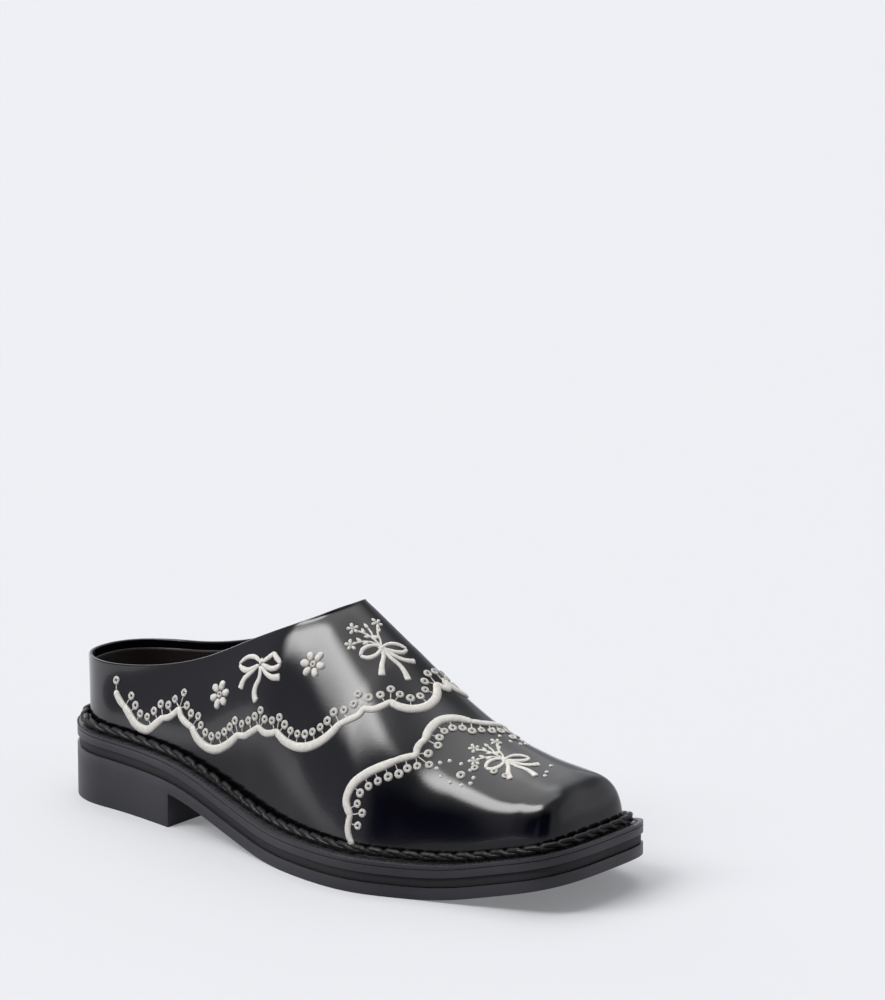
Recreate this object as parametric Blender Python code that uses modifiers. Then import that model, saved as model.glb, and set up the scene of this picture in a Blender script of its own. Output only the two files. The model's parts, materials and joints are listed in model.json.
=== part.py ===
import math

import bmesh
import bpy
import numpy as np

# A right-foot mule: low closed back, high throat, square toe, roped welt and a low block heel.
# Shoe coordinates: X runs from the back of the heel to the toe, +Y is the medial side, Z is up,
# and the floor is Z = 0. The objects' location moves the middle of the footprint to the origin.

# Sizes of the sole, in metres
SOLE_LENGTH = 0.282
HEEL_WIDTH = 0.0680
WAIST_WIDTH = 0.0770
BALL_WIDTH = 0.1015
TOE_WIDTH = 0.0700
HEEL_ROUND = 0.0310        # length of the rounded back end of the outline
TOE_ROUND = 0.0270         # length of the square toe's rounded corners
OUTLINE_EASE = 0.03        # share of the length over which the outline's turns are eased
HEEL_LIFT = 0.0177         # floor to the sole's underside at the back
HEEL_BREAST = 0.0725       # back of the heel to the front face of its block
TOE_SPRING = 0.0138        # floor to the sole's underside at the toe
OUTSOLE_THICKNESS = 0.0051
RAND_THICKNESS = 0.0038
RAND_SETBACK = 0.0009
MIDSOLE_THICKNESS = 0.0034
WELT_THICKNESS = 0.0014
INSOLE_THICKNESS = 0.0030
GAP = 0.0003               # seat between pieces that lie on each other

# Sizes of the rope on the welt
HEEL_MARGIN = 0.0057       # sole edge to the foot of the upper, round the heel
FRONT_MARGIN = 0.0082      # the same, round the forefoot
MARGIN_CHANGE = (0.15, 0.50)  # shares of the length between which one margin turns into the other
BRAID_WIDTH = 0.0042
BRAID_HEIGHT = 0.0044
BRAID_PITCH = 0.0082
BRAID_DIP = 0.0008         # depth of the grooves between the lobes

# Sizes of the upper
UPPER_WALL = 0.0018
COLLAR_HEIGHT = 0.0277     # rim above the sole's top, at the back
COLLAR_WIDTH = 0.0484
COLLAR_OFFSET = 0.0034     # the rim's middle, towards the medial side
COLLAR_BACK = 0.0008       # back of the heel to the back of the rim
THROAT_DISTANCE = 0.1465   # back of the heel to the throat's peak
THROAT_ROUND = 0.0300      # length of the rounded front end of the opening
INSTEP_HEIGHT = 0.0905     # throat's peak above the sole's top
TOE_BOX_HEIGHT = 0.0290    # toe's top above the sole's top

# The outline's half widths: share of the length, named width, lateral share, medial share
OUTLINE = (
    (0.00, HEEL_WIDTH, 0.470, 0.520),
    (0.13, HEEL_WIDTH, 0.480, 0.520),
    (0.28, HEEL_WIDTH, 0.578, 0.505),
    (0.42, WAIST_WIDTH, 0.590, 0.425),
    (0.55, BALL_WIDTH, 0.553, 0.360),
    (0.66, BALL_WIDTH, 0.590, 0.417),
    (0.78, BALL_WIDTH, 0.487, 0.420),
    (0.90, TOE_WIDTH, 0.579, 0.535),
    (1.00, TOE_WIDTH, 0.512, 0.488),
)

# The sole's underside: share of the length, share of the heel lift, share of the toe spring
UNDERSIDE = (
    (0.00, 1.000, 0.000),
    (0.13, 0.930, 0.000),
    (0.27, 0.850, 0.000),
    (0.38, 0.360, 0.000),
    (0.47, 0.030, 0.000),
    (0.54, 0.000, 0.000),
    (0.78, 0.000, 0.000),
    (0.88, 0.000, 0.370),
    (1.00, 0.000, 1.000),
)

# The wall behind the throat: share of the throat distance, share of the rise to the peak, shares
# of the collar's width and tilts at the rim in degrees above level, each for the lateral and the
# medial side, reach of the wall's lower and upper handle as shares of its chord
COLLAR = (
    (0.00, 0.000, 1.00, 1.00, 84, 84, 0.36, 0.30),
    (0.10, 0.005, 1.00, 1.00, 84, 84, 0.36, 0.30),
    (0.33, 0.094, 1.02, 1.00, 80, 84, 0.36, 0.30),
    (0.53, 0.283, 1.04, 0.97, 72, 82, 0.38, 0.30),
    (0.76, 0.638, 1.02, 0.88, 58, 74, 0.42, 0.28),
    (1.00, 1.000, 0.96, 0.78, 44, 60, 0.44, 0.28),
)

# The ridge ahead of the throat: share of the way to the toe's top, share of the fall, offset to
# the medial side as a share of the collar's width
RIDGE = (
    (0.00, 0.000, 0.000),
    (0.20, 0.260, 0.000),
    (0.45, 0.610, 0.020),
    (0.65, 0.830, 0.030),
    (0.85, 0.950, 0.020),
    (1.00, 1.000, 0.000),
)

# The wall ahead of the throat: share of the way to the toe's top, inward lean at the foot in
# degrees, reach of the lower handle as a share of the chord and of the upper handle as a share
# of the width, lateral and then medial
VAMP = (
    (0.00, 4, 0.45, 0.60, 0.45, 0.62),
    (0.30, 4, 0.44, 0.58, 0.45, 0.60),
    (0.60, 2, 0.44, 0.58, 0.46, 0.60),
    (0.85, 0, 0.46, 0.64, 0.48, 0.64),
    (1.00, -2, 0.50, 0.70, 0.50, 0.70),
)

SLOPE_STEP = 0.002         # run over which the ridge's slope is taken
GUIDE_BEND = 0.100         # length over which the ridge's line levels out behind the throat
HEEL_ROUNDNESS = 2.2
TOE_SQUARENESS = 3.3
THROAT_ROUNDNESS = 2.1

HEEL_STEPS = 9
SHANK_STEPS = 4
WAIST_STEPS = 6
THROAT_STEPS = 8
VAMP_STEPS = 12
TOE_STEPS = 10
WALL_STEPS = 11
ROPE_SIDES = 8

SOLE_STACK = OUTSOLE_THICKNESS + RAND_THICKNESS + MIDSOLE_THICKNESS + WELT_THICKNESS + 3 * GAP
SOLE_TOP_SHIFT = SOLE_STACK - WELT_THICKNESS - GAP
TOE_TOP_X = SOLE_LENGTH - TOE_ROUND
THROAT_START = THROAT_DISTANCE - THROAT_ROUND


def curve_value(rows, at, column):
    """Smooth value of a table's column, with no overshoot between its rows."""
    x = np.array([row[0] for row in rows], dtype=float)
    y = np.array([row[column] for row in rows], dtype=float)
    at = min(max(at, x[0]), x[-1])
    step = np.diff(x)
    slope = np.diff(y) / step
    tangent = np.concatenate(([slope[0]], (slope[:-1] + slope[1:]) / 2, [slope[-1]]))
    for i in range(1, len(x) - 1):
        if slope[i - 1] * slope[i] <= 0:
            tangent[i] = 0.0
        else:
            limit = 3 * min(abs(slope[i - 1]), abs(slope[i]))
            tangent[i] = math.copysign(min(abs(tangent[i]), limit), slope[i])
    i = min(int(np.searchsorted(x, at, side="right")) - 1, len(step) - 1)
    t = (at - x[i]) / step[i]
    return float(
        (2 * t**3 - 3 * t**2 + 1) * y[i]
        + (t**3 - 2 * t**2 + t) * step[i] * tangent[i]
        + (3 * t**2 - 2 * t**3) * y[i + 1]
        + (t**3 - t**2) * step[i] * tangent[i + 1]
    )


def half_width(x, side):
    rows = [(share, width * lateral, width * medial) for share, width, lateral, medial in OUTLINE]
    column = 1 if side < 0 else 2
    weights = (1, 4, 6, 4, 1)
    near = [x / SOLE_LENGTH + OUTLINE_EASE * step for step in (-2, -1, 0, 1, 2)]
    return sum(w * curve_value(rows, at, column) for w, at in zip(weights, near)) / sum(weights)


def underside(x):
    share = x / SOLE_LENGTH
    lift = curve_value(UNDERSIDE, share, 1) * HEEL_LIFT
    return lift + curve_value(UNDERSIDE, share, 2) * TOE_SPRING


def round_end(angle, power):
    """Unit point of a rounded square at an angle from its tip: reach along X, share of the width."""
    c, s = math.cos(angle), math.sin(angle)
    r = (abs(c) ** power + abs(s) ** power) ** (-1 / power)
    return r * c, r * s


def spread(start, end, steps):
    return [start + (end - start) * (i + 1) / steps for i in range(steps)]


def stations():
    """Sections from heel to toe: zone, place along the sole, share of the outline's width."""
    rows = []
    for i in range(HEEL_STEPS + 1):
        reach, share = round_end(math.pi / 2 * i / HEEL_STEPS, HEEL_ROUNDNESS)
        rows.append(("heel", HEEL_ROUND * (1 - reach), share))
    rows += [("side", x, 1.0) for x in spread(HEEL_ROUND, HEEL_BREAST, SHANK_STEPS)]
    rows += [("side", x, 1.0) for x in spread(HEEL_BREAST, THROAT_START, WAIST_STEPS)]
    for angle in spread(0, math.pi / 2, THROAT_STEPS):
        rows.append(("throat", THROAT_START + THROAT_ROUND * math.sin(angle), 1.0))
    rows += [("vamp", x, 1.0) for x in spread(THROAT_DISTANCE, TOE_TOP_X, VAMP_STEPS)]
    for angle in spread(math.pi / 2, 0, TOE_STEPS):
        reach, share = round_end(angle, TOE_SQUARENESS)
        rows.append(("toe", TOE_TOP_X + TOE_ROUND * reach, share))
    return rows


STATIONS = stations()
LAST = len(STATIONS) - 1
BREAST_STATION = HEEL_STEPS + SHANK_STEPS


def margin(x):
    start, end = MARGIN_CHANGE
    t = min(max((x / SOLE_LENGTH - start) / (end - start), 0.0), 1.0)
    return HEEL_MARGIN + (FRONT_MARGIN - HEEL_MARGIN) * t * t * (3 - 2 * t)


def outline():
    """The sole's edge in plan: up the lateral side from the heel's tip, back down the medial side."""
    lateral = [(x, -half_width(x, -1) * share) for _, x, share in STATIONS]
    medial = [(x, half_width(x, 1) * share) for _, x, share in STATIONS]
    return np.array(lateral + medial[-2:0:-1])


def inset_outline(distance):
    """The outline moved inwards; distance is a length or a function of the place along the sole."""
    edge = outline()
    along = np.roll(edge, -1, axis=0) - np.roll(edge, 1, axis=0)
    along /= np.linalg.norm(along, axis=1)[:, None]
    inward = np.stack((-along[:, 1], along[:, 0]), axis=1)
    reach = [distance(x) if callable(distance) else distance for x, _ in edge]
    return edge + inward * np.array(reach)[:, None]


def medial_index(i):
    """Place in a loop of the medial point of section i."""
    return 0 if i == 0 else (i if i == LAST else 2 * LAST - i)


def at_height(plan, height):
    return [(x, y, height(x)) for x, y in plan]


def new_object(name, mesh, material):
    mesh.materials.append(material)
    mesh.shade_smooth()
    mesh.set_sharp_from_angle(angle=math.radians(35))
    obj = bpy.data.objects.new(name, mesh)
    obj.location = PLACE
    bpy.data.collections["mule"].objects.link(obj)
    return obj


def mesh_from(name, points, faces):
    bm = bmesh.new()
    verts = [bm.verts.new(point) for point in points]
    for face in faces:
        corners = []
        for index in face:
            if verts[index] not in corners:
                corners.append(verts[index])
        if len(corners) > 2:
            bm.faces.new(corners)
    bmesh.ops.remove_doubles(bm, verts=bm.verts, dist=0.00002)
    bmesh.ops.dissolve_degenerate(bm, edges=bm.edges, dist=0.00001)
    bmesh.ops.recalc_face_normals(bm, faces=bm.faces)
    mesh = bpy.data.meshes.new(name)
    bm.to_mesh(mesh)
    bm.free()
    return mesh


def finish(name, colour, roughness):
    material = bpy.data.materials.new(name)
    material.use_nodes = True
    shader = material.node_tree.nodes["Principled BSDF"]
    shader.inputs["Base Color"].default_value = (*colour, 1.0)
    shader.inputs["Roughness"].default_value = roughness
    shader.inputs["Metallic"].default_value = 0.0
    return material


def plate(name, material, inset, bottom, top):
    """A sole layer: the inset outline between two heights, closed above and below by strips."""
    plan = inset_outline(inset)
    count = len(plan)
    points = at_height(plan, bottom) + at_height(plan, top)
    faces = []
    for i in range(count):
        j = (i + 1) % count
        faces.append((i, j, count + j, count + i))
    for i in range(LAST):
        a, b = medial_index(i), medial_index(i + 1)
        faces.append((i, a, b, i + 1))
        faces.append((count + i, count + i + 1, count + b, count + a))
    return new_object(name, mesh_from(name, points, faces), material)


def unit_sole(name, material):
    """The outsole with its heel block: the block reaches the floor behind the breast."""
    plan = inset_outline(0.0)
    count = len(plan)
    behind = [i <= BREAST_STATION or i >= medial_index(BREAST_STATION) for i in range(count)]
    ends = (BREAST_STATION, medial_index(BREAST_STATION))
    points = at_height(plan, lambda x: underside(x) + OUTSOLE_THICKNESS)
    points += at_height(plan, underside)
    points += at_height(plan, lambda x: 0.0)
    under = lambda i: count + i
    floor = lambda i: 2 * count + i
    low = lambda i, block: floor(i) if block else under(i)
    faces = []
    for i in range(count):
        j = (i + 1) % count
        block = behind[i] and behind[j]
        face = [i, j]
        if block and j in ends:
            face.append(under(j))
        face += [low(j, block), low(i, block)]
        if block and i in ends:
            face.append(under(i))
        faces.append(tuple(face))
    for i in range(LAST):
        a, b = medial_index(i), medial_index(i + 1)
        block = i < BREAST_STATION
        faces.append((i, a, b, i + 1))
        faces.append((low(i, block), low(i + 1, block), low(b, block), low(a, block)))
    lateral, medial = ends
    faces.append((under(lateral), floor(lateral), floor(medial), under(medial)))
    return new_object(name, mesh_from(name, points, faces), material)


def welt_ring(name, material):
    """The flat welt: a ring from the sole's edge to just short of the upper."""
    edge = inset_outline(0.0)
    inner = inset_outline(lambda x: margin(x) - GAP)
    count = len(edge)
    bottom = lambda x: underside(x) + SOLE_TOP_SHIFT + GAP
    top = lambda x: bottom(x) + WELT_THICKNESS
    points = at_height(edge, bottom) + at_height(edge, top)
    points += at_height(inner, bottom) + at_height(inner, top)
    faces = []
    for i in range(count):
        j = (i + 1) % count
        loops = [(k * count + i, k * count + j) for k in (0, 1, 3, 2)]
        for (a, b), (c, d) in zip(loops, loops[1:] + loops[:1]):
            faces.append((a, b, d, c))
    return new_object(name, mesh_from(name, points, faces), material)


def rope_ring(name, material):
    """The whipped rope: a closed ring whose section swells at each lobe and leans with the whip."""
    path = inset_outline(lambda x: margin(x) - GAP - BRAID_WIDTH / 2)
    path = np.vstack((path, path[:1]))
    run = np.concatenate(([0], np.cumsum(np.linalg.norm(np.diff(path, axis=0), axis=1))))
    lobes = round(run[-1] / BRAID_PITCH)
    count = 2 * lobes

    def centre(distance):
        distance = distance % run[-1]
        return np.array([np.interp(distance, run, path[:, k]) for k in (0, 1)])

    points = []
    for i in range(count):
        swell = 0.0 if i % 2 == 0 else BRAID_DIP
        for k in range(ROPE_SIDES):
            turn = 2 * math.pi * (k + 0.5) / ROPE_SIDES
            distance = run[-1] * i / count + BRAID_PITCH / 4 * math.sin(turn)
            middle = centre(distance)
            ahead = centre(distance + BRAID_WIDTH / 2) - centre(distance - BRAID_WIDTH / 2)
            ahead /= np.linalg.norm(ahead)
            side = np.array((-ahead[1], ahead[0])) * (BRAID_WIDTH / 2 - swell / 2) * math.cos(turn)
            bed = underside(middle[0]) + SOLE_STACK + GAP
            rise = BRAID_HEIGHT / 2 + (BRAID_HEIGHT / 2 - swell) * math.sin(turn)
            points.append((middle[0] + side[0], middle[1] + side[1], bed + rise))
    faces = []
    for i in range(count):
        j = (i + 1) % count
        for k in range(ROPE_SIDES):
            n = (k + 1) % ROPE_SIDES
            faces.append(tuple(r * ROPE_SIDES + s for r, s in ((i, k), (j, k), (j, n), (i, n))))
    return new_object(name, mesh_from(name, points, faces), material)


def sole_top(x):
    return underside(x) + SOLE_TOP_SHIFT


def collar_top():
    return HEEL_LIFT + SOLE_STACK + COLLAR_HEIGHT


def instep_top():
    return underside(THROAT_DISTANCE) + SOLE_STACK + INSTEP_HEIGHT


def toe_top():
    return underside(TOE_TOP_X) + SOLE_STACK + TOE_BOX_HEIGHT


def ridge_point(x):
    """The closed upper's highest line; behind the throat it is only a guide."""
    x = min(x, TOE_TOP_X)
    length = TOE_TOP_X - THROAT_DISTANCE
    share = (x - THROAT_DISTANCE) / length
    fall = instep_top() - toe_top()
    slope = (RIDGE[1][1] - RIDGE[0][1]) / (RIDGE[1][0] - RIDGE[0][0]) * fall / length
    behind = max(THROAT_DISTANCE - x, 0.0)
    height = instep_top() - curve_value(RIDGE, share, 1) * fall
    height += slope * behind / (1 + behind / GUIDE_BEND)
    return np.array((x, COLLAR_OFFSET + curve_value(RIDGE, share, 2) * COLLAR_WIDTH, height))


def rim_height(x):
    return collar_top() + curve_value(COLLAR, x / THROAT_DISTANCE, 1) * (instep_top() - collar_top())


def throat_closing(x):
    """Share of the collar's width that is left open at the rounded front end of the opening."""
    forward = min(max((x - THROAT_START) / THROAT_ROUND, 0.0), 1.0)
    return max(1 - forward**THROAT_ROUNDNESS, 0.0) ** (1 / THROAT_ROUNDNESS)


def bezier(first, second, third, fourth, t):
    u = 1 - t
    return u**3 * first + 3 * t * u * u * second + 3 * t * t * u * third + t**3 * fourth


def open_wall(foot, station, side):
    """Handles of a wall that ends at the rim."""
    zone, x, share = station
    if zone == "heel":
        x = COLLAR_BACK + (HEEL_ROUND - COLLAR_BACK) * x / HEEL_ROUND
    at = x / THROAT_DISTANCE
    width = curve_value(COLLAR, at, 2 if side < 0 else 3)
    tilt = curve_value(COLLAR, at, 4 if side < 0 else 5)
    low, high = (curve_value(COLLAR, at, column) for column in (6, 7))
    half = COLLAR_WIDTH / 2 * width * throat_closing(x)
    top = np.array((x, share * (COLLAR_OFFSET + side * half), rim_height(x)))
    out = (foot - top) * (1, 1, 0)
    out /= np.linalg.norm(out)
    chord = np.linalg.norm(top - foot)
    tilt = math.radians(tilt * throat_closing(x))
    lower = foot + np.array((0, 0, low * chord))
    upper = top + high * chord * (out * math.cos(tilt) - np.array((0, 0, math.sin(tilt))))
    return lower, upper, top


def closed_wall(foot, x, side):
    """Handles of a wall that runs on over the foot to the ridge."""
    top = ridge_point(x)
    share = (x - THROAT_DISTANCE) / (TOE_TOP_X - THROAT_DISTANCE)
    lean = math.radians(curve_value(VAMP, share, 1))
    low = curve_value(VAMP, share, 2 if side < 0 else 4)
    high = curve_value(VAMP, share, 3 if side < 0 else 5)
    out = (foot - top) * (1, 1, 0)
    chord = np.linalg.norm(top - foot)
    inward = -out / np.linalg.norm(out)
    lower = foot + low * chord * (np.array((0, 0, math.cos(lean))) + inward * math.sin(lean))
    slope = (top[2] - ridge_point(top[0] - SLOPE_STEP)[2]) / SLOPE_STEP
    upper = top + high * out + np.array((0, 0, slope * high * out[0]))
    return lower, upper, top


def wall_curve(foot, station, side):
    """The outer face of one section, from the foot of the wall to its top."""
    zone, x = station[:2]
    steps = [j / WALL_STEPS for j in range(WALL_STEPS + 1)]
    if zone in ("vamp", "toe"):
        return [bezier(foot, *closed_wall(foot, x, side), t) for t in steps]
    rim_wall = [bezier(foot, *open_wall(foot, station, side), t) for t in steps]
    if zone != "throat":
        return rim_wall
    handles = closed_wall(foot, x, side)
    low, high = 0.0, 1.0
    for _ in range(30):
        end = (low + high) / 2
        below = bezier(foot, *handles, end)[2] < rim_height(x)
        low, high = (end, high) if below else (low, end)
    vamp_wall = [bezier(foot, *handles, t - (1 - end) * t**3) for t in steps]
    forward = (x - THROAT_START) / THROAT_ROUND
    blend = forward * forward * (3 - 2 * forward)
    return [(1 - blend) * a + blend * b for a, b in zip(rim_wall, vamp_wall)]


def upper_shell(name, material):
    """The upper: an open lofted surface, thickened inwards."""
    foot_line = inset_outline(margin)
    rows = {}
    points = []
    for side in (-1, 1):
        for i, station in enumerate(STATIONS):
            x, y = foot_line[i if side < 0 else medial_index(i)]
            rows[side, i] = len(points)
            points += wall_curve(np.array((x, y, sole_top(x) + GAP)), station, side)
    faces = []
    for side in (-1, 1):
        for i in range(LAST):
            a, b = rows[side, i], rows[side, i + 1]
            for j in range(WALL_STEPS):
                faces.append((a + j, b + j, b + j + 1, a + j + 1)[::-side])
    mesh = mesh_from(name, [tuple(point) for point in points], faces)
    obj = new_object(name, mesh, material)
    wall = obj.modifiers.new("wall", "SOLIDIFY")
    wall.thickness = UPPER_WALL
    wall.offset = -1
    wall.use_even_offset = True
    return obj


for old in list(bpy.data.objects):
    bpy.data.objects.remove(old)
parts = bpy.data.collections.new("mule")
bpy.context.scene.collection.children.link(parts)

EDGE = outline()
PLACE = (-SOLE_LENGTH / 2, -(EDGE[:, 1].max() + EDGE[:, 1].min()) / 2, 0.0)

black_calf = finish("black_calf", (0.012, 0.012, 0.013), 0.28)
waxed_cord = finish("waxed_cord", (0.010, 0.010, 0.010), 0.35)
sole_edge = finish("sole_edge", (0.040, 0.038, 0.037), 0.45)
rand_edge = finish("rand_edge", (0.012, 0.012, 0.012), 0.65)
brown_lining = finish("brown_lining", (0.050, 0.030, 0.022), 0.55)

unit_sole("outsole", sole_edge)
plate("rand", rand_edge, RAND_SETBACK,
      lambda x: underside(x) + OUTSOLE_THICKNESS + GAP,
      lambda x: underside(x) + OUTSOLE_THICKNESS + GAP + RAND_THICKNESS)
plate("midsole", sole_edge, 0.0,
      lambda x: sole_top(x) - MIDSOLE_THICKNESS,
      sole_top)
welt_ring("welt", sole_edge)
rope_ring("welt_braid", waxed_cord)
upper_shell("upper", black_calf)
plate("insole", brown_lining, lambda x: margin(x) + UPPER_WALL + 2 * GAP,
      lambda x: sole_top(x) + GAP,
      lambda x: sole_top(x) + GAP + INSOLE_THICKNESS)
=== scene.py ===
import json
import math

import bpy
import numpy as np
from mathutils import Matrix, Vector
from mathutils.bvhtree import BVHTree

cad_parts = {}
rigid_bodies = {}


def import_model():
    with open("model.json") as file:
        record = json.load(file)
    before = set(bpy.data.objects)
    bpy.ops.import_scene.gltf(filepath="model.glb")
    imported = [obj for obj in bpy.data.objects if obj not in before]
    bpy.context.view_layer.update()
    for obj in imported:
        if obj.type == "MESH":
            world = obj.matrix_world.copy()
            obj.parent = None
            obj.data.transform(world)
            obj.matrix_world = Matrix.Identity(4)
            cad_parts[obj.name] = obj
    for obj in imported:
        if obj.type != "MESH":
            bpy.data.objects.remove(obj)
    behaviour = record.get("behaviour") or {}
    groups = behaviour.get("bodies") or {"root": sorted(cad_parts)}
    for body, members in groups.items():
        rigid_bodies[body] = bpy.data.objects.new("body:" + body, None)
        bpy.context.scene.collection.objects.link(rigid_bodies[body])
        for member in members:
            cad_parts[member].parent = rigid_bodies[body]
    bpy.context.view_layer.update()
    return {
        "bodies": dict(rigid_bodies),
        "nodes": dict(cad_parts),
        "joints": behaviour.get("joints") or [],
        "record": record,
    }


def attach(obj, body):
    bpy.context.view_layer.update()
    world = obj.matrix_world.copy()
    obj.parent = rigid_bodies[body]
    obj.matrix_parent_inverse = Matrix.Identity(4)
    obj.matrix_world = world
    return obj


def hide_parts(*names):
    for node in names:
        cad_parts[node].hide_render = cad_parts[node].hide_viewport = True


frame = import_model()
print("frame loaded")

# The shoe's sizes in metres: X from the back of the heel to the toe, +Y the medial side, Z up
shoe = {
    "length": 0.282,
    "heelWidth": 0.068,
    "waistWidth": 0.077,
    "ballWidth": 0.1015,
    "toeWidth": 0.070,
    "heelRound": 0.031,
    "toeRound": 0.027,
    "heelLift": 0.0177,
    "heelBreast": 0.0725,
    "toeSpring": 0.0138,
    "seat": 0.0003,
    "heelRoundness": 2.2,
    "toeSquareness": 3.3,
    "outlineEase": 0.03,
    "bendEase": 0.012,
    "randSetback": 0.0009,
    "edgeEase": 0.0005,
}
layers = {"outsole": 0.0051, "rand": 0.0038, "midsole": 0.0034, "welt": 0.0014, "insole": 0.003}
margins = {"heel": 0.0057, "front": 0.0082, "from": 0.15, "to": 0.50}
last = {
    "wall": 0.0018,
    "collarHeight": 0.0277,
    "collarWidth": 0.0484,
    "collarOffset": 0.0034,
    "collarBack": 0.0008,
    "throat": 0.1465,
    "throatRound": 0.030,
    "instepHeight": 0.0905,
    "toeBoxHeight": 0.029,
    "guideBend": 0.100,
    "throatRoundness": 2.1,
}

# share of the length, half width on the lateral side, half width on the medial side
outlineRows = (
    (0.00, 0.470 * shoe["heelWidth"], 0.520 * shoe["heelWidth"]),
    (0.13, 0.480 * shoe["heelWidth"], 0.520 * shoe["heelWidth"]),
    (0.28, 0.578 * shoe["heelWidth"], 0.505 * shoe["heelWidth"]),
    (0.42, 0.590 * shoe["waistWidth"], 0.425 * shoe["waistWidth"]),
    (0.55, 0.553 * shoe["ballWidth"], 0.360 * shoe["ballWidth"]),
    (0.66, 0.590 * shoe["ballWidth"], 0.417 * shoe["ballWidth"]),
    (0.78, 0.487 * shoe["ballWidth"], 0.420 * shoe["ballWidth"]),
    (0.90, 0.579 * shoe["toeWidth"], 0.535 * shoe["toeWidth"]),
    (1.00, 0.512 * shoe["toeWidth"], 0.488 * shoe["toeWidth"]),
)
# share of the length, share of the heel lift, share of the toe spring
undersideRows = (
    (0.00, 1.000, 0.000), (0.13, 0.930, 0.000), (0.27, 0.850, 0.000),
    (0.38, 0.360, 0.000), (0.47, 0.030, 0.000), (0.54, 0.000, 0.000),
    (0.78, 0.000, 0.000), (0.88, 0.000, 0.370), (1.00, 0.000, 1.000),
)
# share of the way to the throat, rise, lateral and medial width, lateral and medial tilt, handles
collarRows = (
    (0.00, 0.000, 1.00, 1.00, 84, 84, 0.36, 0.30),
    (0.10, 0.005, 1.00, 1.00, 84, 84, 0.36, 0.30),
    (0.33, 0.094, 1.02, 1.00, 80, 84, 0.36, 0.30),
    (0.53, 0.283, 1.04, 0.97, 72, 82, 0.38, 0.30),
    (0.76, 0.638, 1.02, 0.88, 58, 74, 0.42, 0.28),
    (1.00, 1.000, 0.96, 0.78, 44, 60, 0.44, 0.28),
)
# share of the way from the throat to the toe's top, fall, offset to the medial side
ridgeRows = (
    (0.00, 0.000, 0.000), (0.20, 0.260, 0.000), (0.45, 0.610, 0.020),
    (0.65, 0.830, 0.030), (0.85, 0.950, 0.020), (1.00, 1.000, 0.000),
)
# the same share, lean at the foot, lower and upper handle of the lateral and of the medial wall
vampRows = (
    (0.00, 6.0, 0.400, 0.600, 0.450, 0.580),
    (0.20, 9.0, 0.415, 0.585, 0.450, 0.540),
    (0.40, 7.5, 0.435, 0.580, 0.455, 0.530),
    (0.55, 5.5, 0.425, 0.580, 0.460, 0.550),
    (0.70, 3.0, 0.465, 0.620, 0.465, 0.580),
    (0.85, 3.0, 0.495, 0.660, 0.480, 0.660),
    (1.00, 2.5, 0.540, 0.740, 0.540, 0.740),
)


def unit(vector):
    return vector / np.linalg.norm(vector)


def unitRows(vectors):
    return vectors / np.linalg.norm(vectors, axis=1)[:, None]


def runOf(points):
    # the length of a path up to each of its points
    return np.concatenate(([0], np.cumsum(np.linalg.norm(np.diff(points, axis=0), axis=1))))


def pointsAt(run, points, at):
    return np.stack([np.interp(at, run, points[:, axis]) for axis in range(3)], -1)


def smoothColumn(rows, column):
    # a table's column as a smooth line that stays between its rows
    x = np.array([row[0] for row in rows], float)
    y = np.array([row[column] for row in rows], float)
    step = np.diff(x)
    slope = np.diff(y) / step
    tangent = np.concatenate(([slope[0]], (slope[:-1] + slope[1:]) / 2, [slope[-1]]))
    for i in range(1, len(x) - 1):
        if slope[i - 1] * slope[i] <= 0:
            tangent[i] = 0.0
        else:
            most = 3 * min(abs(slope[i - 1]), abs(slope[i]))
            tangent[i] = math.copysign(min(abs(tangent[i]), most), slope[i])

    def value(at):
        at = np.clip(at, x[0], x[-1])
        i = np.clip(np.searchsorted(x, at, side="right") - 1, 0, len(step) - 1)
        t = (at - x[i]) / step[i]
        low = (2 * t**3 - 3 * t**2 + 1) * y[i] + (t**3 - 2 * t**2 + t) * step[i] * tangent[i]
        return low + (3 * t**2 - 2 * t**3) * y[i + 1] + (t**3 - t**2) * step[i] * tangent[i + 1]

    return value


def easedColumn(rows, column):
    # the same with its turns eased over a share of the length
    line = smoothColumn(rows, column)
    return lambda at: sum(weight * line(at + shoe["outlineEase"] * step)
                          for step, weight in zip((-2, -1, 0, 1, 2), (1, 4, 6, 4, 1))) / 16


halfWidth = {-1: easedColumn(outlineRows, 1), 1: easedColumn(outlineRows, 2)}
heelShare = smoothColumn(undersideRows, 1)
springShare = smoothColumn(undersideRows, 2)
collarLine = [smoothColumn(collarRows, column) for column in range(1, 8)]
ridgeLine = [smoothColumn(ridgeRows, column) for column in (1, 2)]
vampLine = [smoothColumn(vampRows, column) for column in range(1, 6)]

soleStack = sum(layers[name] for name in ("outsole", "rand", "midsole", "welt")) + 3 * shoe["seat"]
soleTopRise = soleStack - layers["welt"] - shoe["seat"]
toeTopX = shoe["length"] - shoe["toeRound"]
throatStart = last["throat"] - last["throatRound"]


def benched(x):
    share = x / shoe["length"]
    return heelShare(share) * shoe["heelLift"] + springShare(share) * shoe["toeSpring"]


def underside(x):
    # averaged over a short stretch, which softens the bends, and over none at the two ends
    reach = np.minimum(shoe["bendEase"], np.maximum(np.minimum(x, shoe["length"] - x), 0.0))
    return sum(benched(x + reach * part) for part in (-1.0, -0.6, -0.2, 0.2, 0.6, 1.0)) / 6


def roundEnd(angle, power):
    c, s = math.cos(angle), math.sin(angle)
    r = (abs(c) ** power + abs(s) ** power) ** (-1 / power)
    return r * c, r * s


def walk(start, end, steps):
    return [start + (end - start) * (i + 1) / steps for i in range(steps)]


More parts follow.
